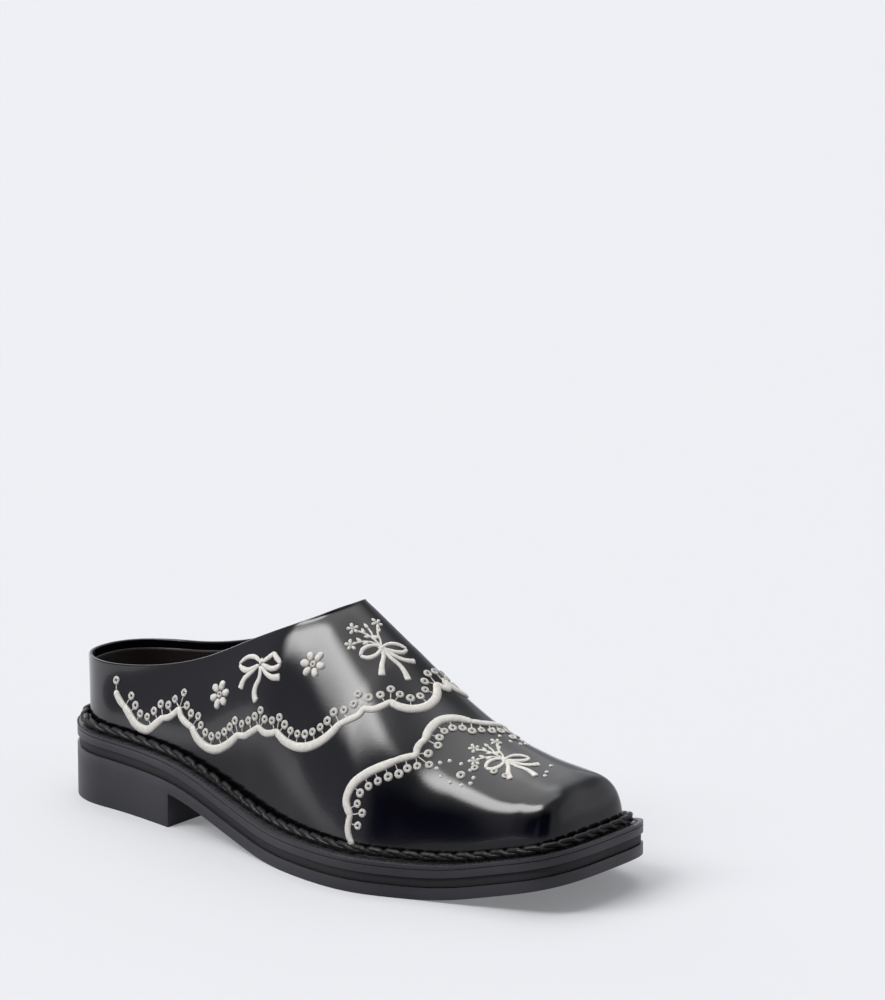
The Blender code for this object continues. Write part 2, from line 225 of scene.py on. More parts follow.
# how finely the sections follow each other, heel to toe
stationSteps = {"heel": 22, "shank": 14, "waist": 16, "throat": 14, "vamp": 42, "toe": 26}
rightAngle = math.pi / 2
stations = []
for step in range(stationSteps["heel"] + 1):
    reach, share = roundEnd(rightAngle * step / stationSteps["heel"], shoe["heelRoundness"])
    stations.append(("heel", shoe["heelRound"] * (1 - reach), share))
for x in walk(shoe["heelRound"], shoe["heelBreast"], stationSteps["shank"]):
    stations.append(("side", x, 1.0))
for x in walk(shoe["heelBreast"], throatStart, stationSteps["waist"]):
    stations.append(("side", x, 1.0))
for angle in walk(0, rightAngle, stationSteps["throat"]):
    stations.append(("throat", throatStart + last["throatRound"] * math.sin(angle), 1.0))
throatStation = len(stations) - 1
for x in walk(last["throat"], toeTopX, stationSteps["vamp"]):
    stations.append(("vamp", x, 1.0))
for angle in walk(rightAngle, 0, stationSteps["toe"]):
    reach, share = roundEnd(angle, shoe["toeSquareness"])
    stations.append(("toe", toeTopX + shoe["toeRound"] * reach, share))
stationX = np.array([x for _, x, _ in stations])
stationShare = np.array([share for _, _, share in stations])
lastStation = len(stations) - 1


def margin(x):
    t = np.clip((x / shoe["length"] - margins["from"]) / (margins["to"] - margins["from"]), 0, 1)
    return margins["heel"] + (margins["front"] - margins["heel"]) * t * t * (3 - 2 * t)


# the sole's edge in plan: up the lateral side from the heel's tip and back down the medial side
lateralEdge = np.stack((stationX, -halfWidth[-1](stationX / shoe["length"]) * stationShare), 1)
medialEdge = np.stack((stationX, halfWidth[1](stationX / shoe["length"]) * stationShare), 1)
soleEdge = np.concatenate((lateralEdge, medialEdge[-2:0:-1]))
place = np.array((-shoe["length"] / 2, -(soleEdge[:, 1].max() + soleEdge[:, 1].min()) / 2, 0.0))


def insetLoop(distance):
    # the sole's edge moved inwards, the distance a number or one for each point
    along = unitRows(np.roll(soleEdge, -1, 0) - np.roll(soleEdge, 1, 0))
    inward = np.stack((-along[:, 1], along[:, 0]), 1)
    return soleEdge + inward * np.broadcast_to(distance, len(soleEdge))[:, None]


def medialIndex(i):
    return 0 if i == 0 else (i if i == lastStation else 2 * lastStation - i)


def withHeight(plan, height):
    return np.column_stack((plan, np.broadcast_to(height, len(plan)))) + place


def ridgePoint(x):
    # the closed upper's highest line; behind the throat it only guides the walls
    x = min(x, toeTopX)
    run = toeTopX - last["throat"]
    top = underside(last["throat"]) + soleStack + last["instepHeight"]
    fall = top - (underside(toeTopX) + soleStack + last["toeBoxHeight"])
    slope = ridgeRows[1][1] / ridgeRows[1][0] * fall / run
    behind = max(last["throat"] - x, 0.0)
    share = (x - last["throat"]) / run
    height = top - ridgeLine[0](share) * fall + slope * behind / (1 + behind / last["guideBend"])
    return np.array((x, last["collarOffset"] + ridgeLine[1](share) * last["collarWidth"], height))


def rimHeight(x):
    low = shoe["heelLift"] + soleStack + last["collarHeight"]
    high = underside(last["throat"]) + soleStack + last["instepHeight"]
    return low + collarLine[0](x / last["throat"]) * (high - low)


def throatClosing(x):
    forward = min(max((x - throatStart) / last["throatRound"], 0.0), 1.0)
    power = last["throatRoundness"]
    return max(1 - forward**power, 0.0) ** (1 / power)


def bezier(handles, t):
    t = np.asarray(t, float)[..., None]
    a, b, c, d = handles
    return (1 - t) ** 3 * a + 3 * t * (1 - t) ** 2 * b + 3 * t * t * (1 - t) * c + t**3 * d


def openWall(foot, station, side):
    zone, x, share = station
    if zone == "heel":
        x = last["collarBack"] + (shoe["heelRound"] - last["collarBack"]) * x / shoe["heelRound"]
    at = x / last["throat"]
    _, lateralWidth, medialWidth, lateralTilt, medialTilt, low, high = [line(at) for line in collarLine]
    width, tilt = (lateralWidth, lateralTilt) if side < 0 else (medialWidth, medialTilt)
    half = last["collarWidth"] / 2 * width * throatClosing(x)
    top = np.array((x, share * (last["collarOffset"] + side * half), rimHeight(x)))
    out = unit((foot - top) * (1, 1, 0))
    chord = np.linalg.norm(top - foot)
    tilt = math.radians(tilt * throatClosing(x))
    lower = foot + np.array((0, 0, low * chord))
    upper = top + high * chord * (out * math.cos(tilt) - np.array((0, 0, math.sin(tilt))))
    return foot, lower, upper, top


def closedWall(foot, x, side):
    top = ridgePoint(x)
    share = (x - last["throat"]) / (toeTopX - last["throat"])
    lean, lowLateral, highLateral, lowMedial, highMedial = [line(share) for line in vampLine]
    low, high = (lowLateral, highLateral) if side < 0 else (lowMedial, highMedial)
    lean = math.radians(lean)
    out = (foot - top) * (1, 1, 0)
    chord = np.linalg.norm(top - foot)
    inward = -unit(out)
    lower = foot + low * chord * (np.array((0, 0, math.cos(lean))) + inward * math.sin(lean))
    # the ridge's slope is taken over this run
    back = 0.002
    slope = (top[2] - ridgePoint(top[0] - back)[2]) / back
    upper = top + high * out + np.array((0, 0, slope * high * out[0]))
    return foot, lower, upper, top


wallSteps = 44
wallShares = np.linspace(0, 1, wallSteps + 1)


def wallLine(foot, station, side):
    # one section of the outer face, from its foot on the welt to its top
    zone, x, _ = station
    if zone in ("vamp", "toe"):
        return bezier(closedWall(foot, x, side), wallShares)
    rimWall = bezier(openWall(foot, station, side), wallShares)
    if zone != "throat":
        return rimWall
    handles = closedWall(foot, x, side)
    low, high = 0.0, 1.0
    for _ in range(30):
        end = (low + high) / 2
        below = bezier(handles, end)[2] < rimHeight(x)
        low, high = (end, high) if below else (low, end)
    vampWall = bezier(handles, wallShares - (1 - end) * wallShares**3)
    forward = (x - throatStart) / last["throatRound"]
    blend = forward * forward * (3 - 2 * forward)
    return (1 - blend) * rimWall + blend * vampWall


footLoop = insetLoop(margin(soleEdge[:, 0]))
outer = {}
for side in (-1, 1):
    sections = []
    for i, station in enumerate(stations):
        x, y = footLoop[i if side < 0 else medialIndex(i)]
        foot = np.array((x, y, underside(x) + soleTopRise + shoe["seat"]))
        sections.append(wallLine(foot, station, side))
    outer[side] = np.array(sections) + place
print("last laid out")


# Working helpers: everything is made in object mode at the origin, with its place in its mesh
def startGrid(name, columns, rows):
    # a grid primitive with these counts of points
    bpy.ops.object.select_all(action="DESELECT")
    bpy.ops.mesh.primitive_grid_add(x_subdivisions=columns - 1, y_subdivisions=rows - 1, size=0.1)
    piece = bpy.context.active_object
    piece.name = name
    piece.data.name = name
    return piece


def layPoints(piece, points, alongUv=None, acrossUv=None):
    # lays the grid's points, an array of rows by columns, and its UV map in metres
    rows, columns = points.shape[:2]
    if len(piece.data.vertices) != rows * columns:
        raise ValueError(f"{piece.name}: {len(piece.data.vertices)} points for {rows} x {columns}")
    piece.data.vertices.foreach_set("co", np.ascontiguousarray(points, np.float32).ravel())
    if alongUv is not None:
        corners = np.zeros(len(piece.data.loops), np.int32)
        piece.data.loops.foreach_get("vertex_index", corners)
        uv = np.stack((np.broadcast_to(alongUv, (rows, columns)).ravel()[corners],
                       np.broadcast_to(acrossUv, (rows, columns)).ravel()[corners]), 1)
        piece.data.uv_layers[0].data.foreach_set("uv", uv.astype(np.float32).ravel())
    piece.data.update()


def makeActive(piece):
    bpy.ops.object.select_all(action="DESELECT")
    piece.select_set(True)
    bpy.context.view_layer.objects.active = piece


# how close points are merged: on tubes, on embroidery and on sheets
merge = {"tube": 0.000001, "thread": 0.000005, "sheet": 0.00002}


def closeUp(piece, kind):
    # merges points that meet and turns the faces outwards
    makeActive(piece)
    bpy.ops.object.mode_set(mode="EDIT")
    bpy.ops.mesh.select_all(action="SELECT")
    bpy.ops.mesh.remove_doubles(threshold=merge[kind])
    bpy.ops.mesh.normals_make_consistent(inside=False)
    bpy.ops.object.mode_set(mode="OBJECT")


def pickNone(piece):
    for items in (piece.data.vertices, piece.data.edges, piece.data.polygons):
        for item in items:
            item.select = False


def shapeWith(piece, kind, **settings):
    makeActive(piece)
    modifier = piece.modifiers.new(kind.lower(), kind)
    for key, value in settings.items():
        setattr(modifier, key, value)
    bpy.ops.object.modifier_apply(modifier=modifier.name)


def finishPiece(piece, material, slot, *nodes, angle=None):
    makeActive(piece)
    if angle is None:
        bpy.ops.object.shade_smooth()
    else:
        bpy.ops.object.shade_smooth_by_angle(angle=math.radians(angle))
    piece.data.materials.clear()
    piece.data.materials.append(material)
    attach(piece, "root")
    if nodes:
        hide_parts(*nodes)


# Materials
def newMaterial(name, settings):
    material = bpy.data.materials.new(name)
    material.use_nodes = True
    shader = material.node_tree.nodes["Principled BSDF"]
    for key, value in settings.items():
        shader.inputs[key].default_value = value
    return material, material.node_tree, shader


def feed(tree, socket, value):
    # links an output to the socket, or sets a plain value on it
    if isinstance(value, bpy.types.NodeSocket):
        tree.links.new(value, socket)
    else:
        socket.default_value = value


def addNode(tree, kind, *entries, **settings):
    # settings are the node's own or its sockets' by name, entries fill its first sockets in order
    node = tree.nodes.new(kind)
    for key, value in settings.items():
        if key in node.inputs:
            feed(tree, node.inputs[key], value)
        else:
            setattr(node, key, value)
    for socket, value in zip(node.inputs, entries):
        feed(tree, socket, value)
    return node


def calculate(tree, operation, *entries):
    return addNode(tree, "ShaderNodeMath", *entries, operation=operation).outputs[0]


def blended(tree, share, first, second):
    # a colour between two others, each a colour or an output
    node = addNode(tree, "ShaderNodeMix", data_type="RGBA")
    for index, value in ((0, share), (6, first), (7, second)):
        feed(tree, node.inputs[index], value)
    return node.outputs[2]


def faded(tree, value, *span):
    # a smooth change over the span: from, to, and the values there
    node = addNode(tree, "ShaderNodeMapRange", value, *span, interpolation_type="SMOOTHSTEP")
    return node.outputs[0]


def shaded(tree, shader, look, tone, height, depth, roughTone=None):
    # two colours by one mask, a range of roughness by one, and a bump
    bump = addNode(tree, "ShaderNodeBump", Strength=look["bump"], Distance=depth, Height=height)
    feed(tree, shader.inputs["Base Color"], blended(tree, tone, (*look["dark"], 1), (*look["light"], 1)))
    feed(tree, shader.inputs["Normal"], bump.outputs["Normal"])
    if roughTone:
        rough = addNode(tree, "ShaderNodeMapRange", roughTone, 0.0, 1.0, *look["roughness"])
        feed(tree, shader.inputs["Roughness"], rough.outputs[0])


def newGroup(name, inputs, outputs):
    group = bpy.data.node_groups.new(name, "ShaderNodeTree")
    for entry, value in inputs:
        socket = group.interface.new_socket(entry, in_out="INPUT", socket_type="NodeSocketFloat")
        socket.default_value = value
    for entry in outputs:
        group.interface.new_socket(entry, in_out="OUTPUT", socket_type="NodeSocketFloat")
    return group, addNode(group, "NodeGroupInput").outputs, addNode(group, "NodeGroupOutput").inputs


def leatherGrainGroup():
    # fine grain and broad mottle of a leather, on Object coordinates
    inputs = (("Grain Scale", 900.0), ("Mottle Scale", 40.0))
    group, start, end = newGroup("leatherGrain", inputs, ("Height", "Mottle"))
    where = addNode(group, "ShaderNodeTexCoord").outputs["Object"]
    cells = addNode(group, "ShaderNodeTexVoronoi", feature="F1", Vector=where, Scale=start[0])
    fine = addNode(group, "ShaderNodeTexNoise", Detail=3.0, Vector=where, Scale=start[0])
    broad = addNode(group, "ShaderNodeTexNoise", Detail=2.0, Vector=where, Scale=start[1])
    feed(group, end["Height"], calculate(group, "ADD", cells.outputs["Distance"], fine.outputs[0]))
    feed(group, end["Mottle"], broad.outputs[0])
    return group


leatherGrain = leatherGrainGroup()


def leather(name, look):
    # a leather: mottled colour and roughness, grain as a fine bump
    material, tree, shader = newMaterial(name, look["shader"])
    grain = addNode(tree, "ShaderNodeGroup", node_tree=leatherGrain)
    feed(tree, grain.inputs["Grain Scale"], look["grainScale"])
    feed(tree, grain.inputs["Mottle Scale"], look["mottleScale"])
    mottle = grain.outputs["Mottle"]
    shaded(tree, shader, look, mottle, grain.outputs["Height"], look["depth"], mottle)
    return material


blackCalf = leather("blackCalf", {
    "shader": {"IOR": 1.40, "Coat Weight": 0.25, "Coat Roughness": 0.06, "Coat IOR": 1.5},
    "dark": (0.0014, 0.0014, 0.0021), "light": (0.0026, 0.0026, 0.0037),
    "grainScale": 1500.0, "mottleScale": 35.0, "roughness": (0.10, 0.16), "bump": 0.05, "depth": 0.0003,
})
facingCalf = leather("facingCalf", {
    "shader": {"Coat Weight": 0.1, "Coat Roughness": 0.3},
    "dark": (0.0050, 0.0045, 0.0046), "light": (0.0090, 0.0083, 0.0083),
    "grainScale": 1300.0, "mottleScale": 60.0, "roughness": (0.38, 0.50), "bump": 0.2, "depth": 0.0003,
})
brownLining = leather("brownLining", {
    "shader": {"Coat Weight": 0.0, "Specular IOR Level": 0.25},
    "dark": (0.0075, 0.0045, 0.0034), "light": (0.0150, 0.0092, 0.0070),
    "grainScale": 1100.0, "mottleScale": 55.0, "roughness": (0.50, 0.62), "bump": 0.25, "depth": 0.0003,
})
waxedCord = leather("waxedCord", {
    "shader": {"IOR": 1.28, "Coat Weight": 0.14, "Coat Roughness": 0.18},
    "dark": (0.0014, 0.0012, 0.0011), "light": (0.0050, 0.0041, 0.0034),
    "grainScale": 1500.0, "mottleScale": 190.0, "roughness": (0.34, 0.50), "bump": 0.5, "depth": 0.0003,
})


# how deep the bumps of the sole's edges and of the thread are, in m
bumpDepth = {"edge": 0.0002, "thread": 0.0003}


def soleMaterial(name, look):
    # a burnished edge: fine lines along it that follow the layer's height, and a soft mottle
    material, tree, shader = newMaterial(name, look["shader"])
    height = addNode(tree, "ShaderNodeAttribute", attribute_name="layerHeight").outputs["Fac"]
    where = addNode(tree, "ShaderNodeTexCoord").outputs["Object"]
    plan = addNode(tree, "ShaderNodeSeparateXYZ", where).outputs
    scaled = [calculate(tree, "MULTIPLY", value, look[scale])
              for value, scale in ((plan[0], "alongScale"), (plan[1], "alongScale"), (height, "lineScale"))]
    stretched = addNode(tree, "ShaderNodeCombineXYZ", *scaled).outputs[0]
    lines = addNode(tree, "ShaderNodeTexNoise", Scale=1.0, Detail=3.0, Roughness=0.6, Vector=stretched)
    mottle = addNode(tree, "ShaderNodeTexNoise", Scale=look["mottleScale"], Detail=2.0, Vector=where)
    shaded(tree, shader, look, mottle.outputs[0], lines.outputs[0], bumpDepth["edge"], lines.outputs[0])
    return material


burnishedEdge = soleMaterial("burnishedEdge", {
    "shader": {"Coat Weight": 0.15, "Coat Roughness": 0.25},
    "dark": (0.0155, 0.0153, 0.0185), "light": (0.0255, 0.0250, 0.0300),
    "alongScale": 12.0, "lineScale": 2600.0, "mottleScale": 60.0, "roughness": (0.30, 0.48), "bump": 0.25,
})
matteRand = soleMaterial("matteRand", {
    "shader": {"Coat Weight": 0.0},
    "dark": (0.0050, 0.0050, 0.0052), "light": (0.0090, 0.0090, 0.0092),
    "alongScale": 12.0, "lineScale": 1500.0, "mottleScale": 90.0, "roughness": (0.55, 0.70), "bump": 0.15,
})
print("materials made")

# The leather upper: one sheet from the toe back along the lateral side and forward again
upperForm = {
    "rimBevel": 0.00055, "facing": 0.0042, "liningGap": 0.0001, "liningWall": 0.0005,
    "evenFrom": -0.012, "evenTo": 0.030, "evenTurns": 14,
}


def evenOut(piece, low, high, turns):
    # relaxes the sheet between these lengths round the throat, away from its edges
    edges = set()
    uses = {}
    for face in piece.data.polygons:
        for key in face.edge_keys:
            uses[key] = uses.get(key, 0) + 1
    for key, used in uses.items():
        if used == 1:
            edges.update(key)
    pickNone(piece)
    for vertex in piece.data.vertices:
        vertex.select = low < vertex.co.x < high and vertex.index not in edges
    makeActive(piece)
    bpy.ops.object.mode_set(mode="EDIT")
    bpy.ops.mesh.select_mode(type="VERT")
    bpy.ops.mesh.vertices_smooth(factor=0.5, repeat=turns)
    bpy.ops.object.mode_set(mode="OBJECT")


wallSheet = np.concatenate((outer[-1][::-1], outer[1][1:]))
sheetColumns = len(wallSheet)
upper = startGrid("upperLeather", sheetColumns, wallSteps + 1)
run = runOf(wallSheet[:, 0])
rise = np.cumsum(np.linalg.norm(np.diff(wallSheet, axis=1), axis=2), axis=1)
rise = np.concatenate((np.zeros((sheetColumns, 1)), rise), 1)
layPoints(upper, wallSheet.transpose(1, 0, 2), run[None, :], rise.T)
closeUp(upper, "sheet")
evenOut(upper, upperForm["evenFrom"], upperForm["evenTo"], upperForm["evenTurns"])
skinPoints = [vertex.co.copy() for vertex in upper.data.vertices]
skinNormals = [vertex.normal.copy() for vertex in upper.data.vertices]
skinFaces = [tuple(face.vertices) for face in upper.data.polygons]
skin = BVHTree.FromPolygons(skinPoints, skinFaces)
shapeWith(upper, "SOLIDIFY", thickness=last["wall"], offset=-1, use_even_offset=True)
shapeWith(upper, "BEVEL", width=upperForm["rimBevel"], segments=3, limit_method="ANGLE",
          angle_limit=math.radians(50), use_clamp_overlap=True)
finishPiece(upper, blackCalf, "black_calf", "upper")
print("upper made", len(upper.data.polygons))

# Lining: the same sheet moved inwards, ending below the collar's facing
along = np.gradient(wallSheet, axis=0)
upwards = np.gradient(wallSheet, axis=1)
sheetNormals = np.cross(upwards, along)
sheetNormals /= np.maximum(np.linalg.norm(sheetNormals, axis=2), 1e-12)[..., None]


def trimmedSheet(sheet, trim):
    # the sheet with its top cut by a length along each open section
    trimmed = []
    for i in range(sheetColumns):
        height = runOf(sheet[i])
        section = abs(i - lastStation)
        cut = trim if section <= throatStation else max(0.0, trim - (stationX[section] - last["throat"]))
        trimmed.append(pointsAt(height, sheet[i], wallShares * (height[-1] - cut)))
    return np.array(trimmed)


innerFace = wallSheet - sheetNormals * (last["wall"] + upperForm["liningGap"])
inner = trimmedSheet(innerFace, upperForm["facing"])
lining = startGrid("collarLining", sheetColumns, wallSteps + 1)
layPoints(lining, inner.transpose(1, 0, 2), run[None, :], rise.T)
closeUp(lining, "sheet")
shapeWith(lining, "SOLIDIFY", thickness=upperForm["liningWall"], offset=-1)
finishPiece(lining, brownLining, "brown_lining")
print("lining made")


# Sole layers: a strip grid in the outline's shape, extruded up, its edges eased
def soleLayer(name, inset, low, high):
    # low and high are the layer's faces above the sole's underside
    plan = insetLoop(inset)
    lateral = plan[: lastStation + 1]
    medial = np.array([plan[medialIndex(i)] for i in range(lastStation + 1)])
    piece = startGrid(name, lastStation + 1, 2)
    lowFace = np.stack([withHeight(edge, underside(edge[:, 0]) + low) for edge in (lateral, medial)])
    layPoints(piece, lowFace)
    makeActive(piece)
    bpy.ops.object.mode_set(mode="EDIT")
    bpy.ops.mesh.select_all(action="SELECT")
    bpy.ops.mesh.extrude_region_move(TRANSFORM_OT_translate={"value": (0, 0, 0.001)})
    bpy.ops.object.mode_set(mode="OBJECT")
    # the extruded face gets its true height here
    for vertex in piece.data.vertices[2 * (lastStation + 1):]:
        vertex.co.z = underside(vertex.co.x - place[0]) + high
    closeUp(piece, "sheet")
    return piece


def storeHeight(piece):
    # height above the sole's underside, for the lines along the edges
    heights = np.zeros(len(piece.data.vertices) * 3, np.float32)
    piece.data.vertices.foreach_get("co", heights)
    heights = heights.reshape(-1, 3)
    values = heights[:, 2] - underside(heights[:, 0] - place[0])
    attribute = piece.data.attributes.new("layerHeight", "FLOAT", "POINT")
    attribute.data.foreach_set("value", values.astype(np.float32))


def finishLayer(piece, edge, material, slot, node):
    shapeWith(piece, "BEVEL", width=edge, segments=2, limit_method="ANGLE",
              angle_limit=math.radians(40), use_clamp_overlap=True)
    if material != brownLining:
        storeHeight(piece)
    finishPiece(piece, material, slot, node, angle=35)


seat = shoe["seat"]
outsole = soleLayer("outsoleAndHeel", 0.0, 0.0, layers["outsole"])
pickNone(outsole)
for face in outsole.data.polygons:
    if face.normal.z < -0.5 and face.center.x - place[0] < shoe["heelBreast"]:
        face.select = True
        for index in face.vertices:
            outsole.data.vertices[index].select = True
makeActive(outsole)
bpy.ops.object.mode_set(mode="EDIT")
bpy.ops.mesh.select_mode(type="FACE")
bpy.ops.mesh.extrude_region_move(TRANSFORM_OT_translate={"value": (0, 0, -0.001)})
bpy.ops.object.mode_set(mode="OBJECT")
for face in outsole.data.polygons:
    if face.select:
        for index in face.vertices:
            outsole.data.vertices[index].co.z = 0.0
closeUp(outsole, "sheet")
finishLayer(outsole, shoe["edgeEase"], burnishedEdge, "sole_edge", "outsole")

# name, inset, faces above the underside, eased edge, finish and node
randFloor = layers["outsole"] + seat
sockInset = margin(soleEdge[:, 0]) + last["wall"] + 2 * seat
soleLayers = (
    ("recessedRand", shoe["randSetback"], randFloor, randFloor + layers["rand"], 0.0003,
     matteRand, "rand_edge", "rand"),
    ("midsoleEdge", 0.0, soleTopRise - layers["midsole"], soleTopRise, 0.0003,
     burnishedEdge, "sole_edge", "midsole"),
    ("flatWelt", 0.0, soleTopRise + seat, soleStack, 0.0004, burnishedEdge, "sole_edge", "welt"),
    ("insoleSock", sockInset, soleStack, soleTopRise + seat + layers["insole"], 0.0006,
     brownLining, "brown_lining", "insole"),
)
for name, inset, low, high, *finish in soleLayers:
    finishLayer(soleLayer(name, inset, low, high), *finish)
print("sole made")


# Tubes along a path: a grid rolled up round it, its ends drawn to a point
def layTube(name, centres, sideways, upward, halfWidth, above, below, around, closed, fullness=1.0):
    turn = np.linspace(0, 2 * np.pi, around + 1)
    if closed:
        centres, sideways, upward = (np.concatenate((a, a[:1])) for a in (centres, sideways, upward))
        halfWidth, above, below = (np.append(a, a[0]) for a in (halfWidth, above, below))
    rise = np.sign(np.sin(turn)) * np.abs(np.sin(turn)) ** fullness
    lift = np.where(rise[None] > 0, rise[None] * above[:, None], rise[None] * below[:, None])
    points = centres[:, None] + sideways[:, None] * (np.cos(turn)[None] * halfWidth[:, None])[..., None]
    points = points + upward[:, None] * lift[..., None]
    piece = startGrid(name, around + 1, len(centres))
    layPoints(piece, points, runOf(centres)[:, None], (turn / (2 * np.pi))[None])
    return piece


def joinPieces(parts, name):
    bpy.ops.object.select_all(action="DESELECT")
    for part in parts:
        part.select_set(True)
    bpy.context.view_layer.objects.active = parts[0]
    if len(parts) > 1:
        bpy.ops.object.join()
    parts[0].name = name
    parts[0].data.name = name
    return parts[0]


def roundLoop(path, step, reach):
    # even steps round a closed path: lengths, the whole length, points, sideways and upward directions
    run = runOf(path)
    count = round(run[-1] / step)
    at = run[-1] * np.arange(count) / count
    points = pointsAt(run, path, at)
    ahead = unitRows(np.roll(points, -reach, 0) - np.roll(points, reach, 0))
    sideways = unitRows(np.cross(np.array((0, 0, 1.0)), ahead))
    return at, run[-1], points, sideways, np.cross(ahead, sideways)


def copyTurned(first, name, axes, spot):
    # a copy with its own mesh, its axes turned and its middle at the spot
    mesh = first.data.copy()
    mesh.transform(Matrix((*[(*row, value) for row, value in zip(axes, spot)], (0, 0, 0, 1))))
    copy = bpy.data.objects.new(name, mesh)
    bpy.context.scene.collection.objects.link(copy)
    return copy


# The rope on the welt: two fat strands twisted round the path, each lobe lying over the next
rope = {
    "strands": 2, "lobe": 0.0078, "width": 0.0042, "height": 0.0044, "step": 0.0010, "sides": 10,
    "strand": 0.00142, "pinch": 0.16, "lean": 0.30, "flatter": 1.08, "uneven": 0.15, "unevenPace": 211.0,
}
ropeLoop = insetLoop(margin(soleEdge[:, 0]) - seat - rope["width"] / 2)
ropePath = withHeight(ropeLoop, underside(ropeLoop[:, 0]) + soleStack + seat + rope["height"] / 2)
ropePath = np.concatenate((ropePath, ropePath[:1]))
at, ropeLength, centre, flat, over = roundLoop(ropePath, rope["step"], 2)
turns = round(ropeLength / (rope["lobe"] * rope["strands"]))
orbitFlat = rope["width"] / 2 - rope["strand"]
orbitOver = rope["height"] / 2 - rope["strand"]
strands = []
for k in range(rope["strands"]):
    phase = 2 * np.pi * (turns * at / ropeLength + k / rope["strands"])
    phase = phase + rope["lean"] * np.sin(2 * phase)
    middle = centre + flat * (orbitFlat * np.cos(phase))[:, None]
    middle = middle + over * (orbitOver * np.sin(phase))[:, None]
    uneven = 1 + rope["uneven"] * np.sin(at * rope["unevenPace"] + k)
    radius = rope["strand"] * (1 - rope["pinch"] * np.cos(2 * phase) ** 2 * uneven)
    wide = radius * rope["flatter"]
    strands.append(layTube("ropeStrand", middle, flat, over, wide, radius, radius, rope["sides"], True))
twist = joinPieces(strands, "twistedRope")
closeUp(twist, "tube")
finishPiece(twist, waxedCord, "waxed_cord", "welt_braid")
print("rope made")

# Stitches on the welt beside the rope
weltStitch = {
    "pitch": 0.0023, "long": 0.00092, "thick": 0.00036, "beside": 0.0010, "lean": 14, "lookAhead": 0.4,
}
bpy.ops.object.select_all(action="DESELECT")
bpy.ops.mesh.primitive_uv_sphere_add(segments=6, ring_count=5, radius=1.0)
firstStitch = bpy.context.active_object
stitchLoop = insetLoop(margin(soleEdge[:, 0]) - seat - rope["width"] - weltStitch["beside"])
stitchPath = withHeight(stitchLoop, underside(stitchLoop[:, 0]) + soleStack)
stitchPath = np.concatenate((stitchPath, stitchPath[:1]))
stitchRun = runOf(stitchPath)
count = round(stitchRun[-1] / weltStitch["pitch"])
lean = math.radians(weltStitch["lean"])
thick = weltStitch["thick"]
stitchesOnWelt = []
for k in range(count):
    spot = pointsAt(stitchRun, stitchPath, stitchRun[-1] * k / count)
    further = pointsAt(stitchRun, stitchPath, stitchRun[-1] * (k + weltStitch["lookAhead"]) / count)
    straight = unit(further - spot)
    aside = np.cross((0, 0, 1.0), straight)
    ahead = straight * math.cos(lean) + aside * math.sin(lean)
    aside = aside * math.cos(lean) - straight * math.sin(lean)
    axes = np.stack((aside * thick, np.cross(ahead, aside) * thick, ahead * weltStitch["long"]), 1)
    stitchesOnWelt.append(copyTurned(firstStitch, "weltStitch", axes, spot))
bpy.data.objects.remove(firstStitch)
weltStitches = joinPieces(stitchesOnWelt, "weltStitches")
closeUp(weltStitches, "tube")
finishPiece(weltStitches, waxedCord, "waxed_cord")

# Piping at the lining's top
piping = {"radius": 0.00042, "sides": 8, "step": 0.0012}
pipingPath = inner[lastStation - throatStation: lastStation + throatStation + 1, -1]
_, _, centre, flat, over = roundLoop(pipingPath, piping["step"], 1)
radius = np.full(len(centre), piping["radius"])
liningPiping = layTube("liningPiping", centre, flat, over, radius, radius, radius, piping["sides"], True)
closeUp(liningPiping, "tube")
finishPiece(liningPiping, facingCalf, "black_calf")
print("welt stitches and piping made")

# Embroidery: satin bands of ivory thread laid on the leather
satin = {"inputs": (("Threads", 2600.0), ("Waver", 700.0)), "across": 1.6, "waverShare": 0.35}


def satinStitchGroup():
    # threads run across a band: waves along its length, broken up by noise
    group, start, end = newGroup("satinStitch", satin["inputs"], ("Height", "Shade"))
    where = addNode(group, "ShaderNodeTexCoord").outputs["Object"]
    uv = addNode(group, "ShaderNodeSeparateXYZ", addNode(group, "ShaderNodeUVMap").outputs[0]).outputs
    along = calculate(group, "MULTIPLY", uv["X"], start["Threads"])
    across = calculate(group, "MULTIPLY", uv["Y"], satin["across"])
    grid = addNode(group, "ShaderNodeCombineXYZ", along, across).outputs[0]
    threads = addNode(group, "ShaderNodeTexNoise", Scale=1.0, Detail=1.0, Vector=grid).outputs[0]
    waver = addNode(group, "ShaderNodeTexNoise", Detail=2.0, Vector=where, Scale=start["Waver"]).outputs[0]
    height = calculate(group, "MULTIPLY_ADD", waver, satin["waverShare"], threads)
    feed(group, end["Height"], height)
    feed(group, end["Shade"], waver)
    return group


threadGroup = satinStitchGroup()


def threadMaterial(name, look):
    material, tree, shader = newMaterial(name, look["shader"])
    stitch = addNode(tree, "ShaderNodeGroup", node_tree=threadGroup)
    feed(tree, stitch.inputs["Threads"], look["threads"])
    shaded(tree, shader, look, stitch.outputs["Shade"], stitch.outputs["Height"], bumpDepth["thread"])
    return material


ivoryThread = threadMaterial("ivoryThread", {
    "shader": {"Roughness": 0.55, "Sheen Weight": 0.15, "Sheen Roughness": 0.4, "Specular IOR Level": 0.35},
    "dark": (0.45, 0.430, 0.390), "light": (0.68, 0.655, 0.60), "threads": 2400.0, "bump": 0.75,
})


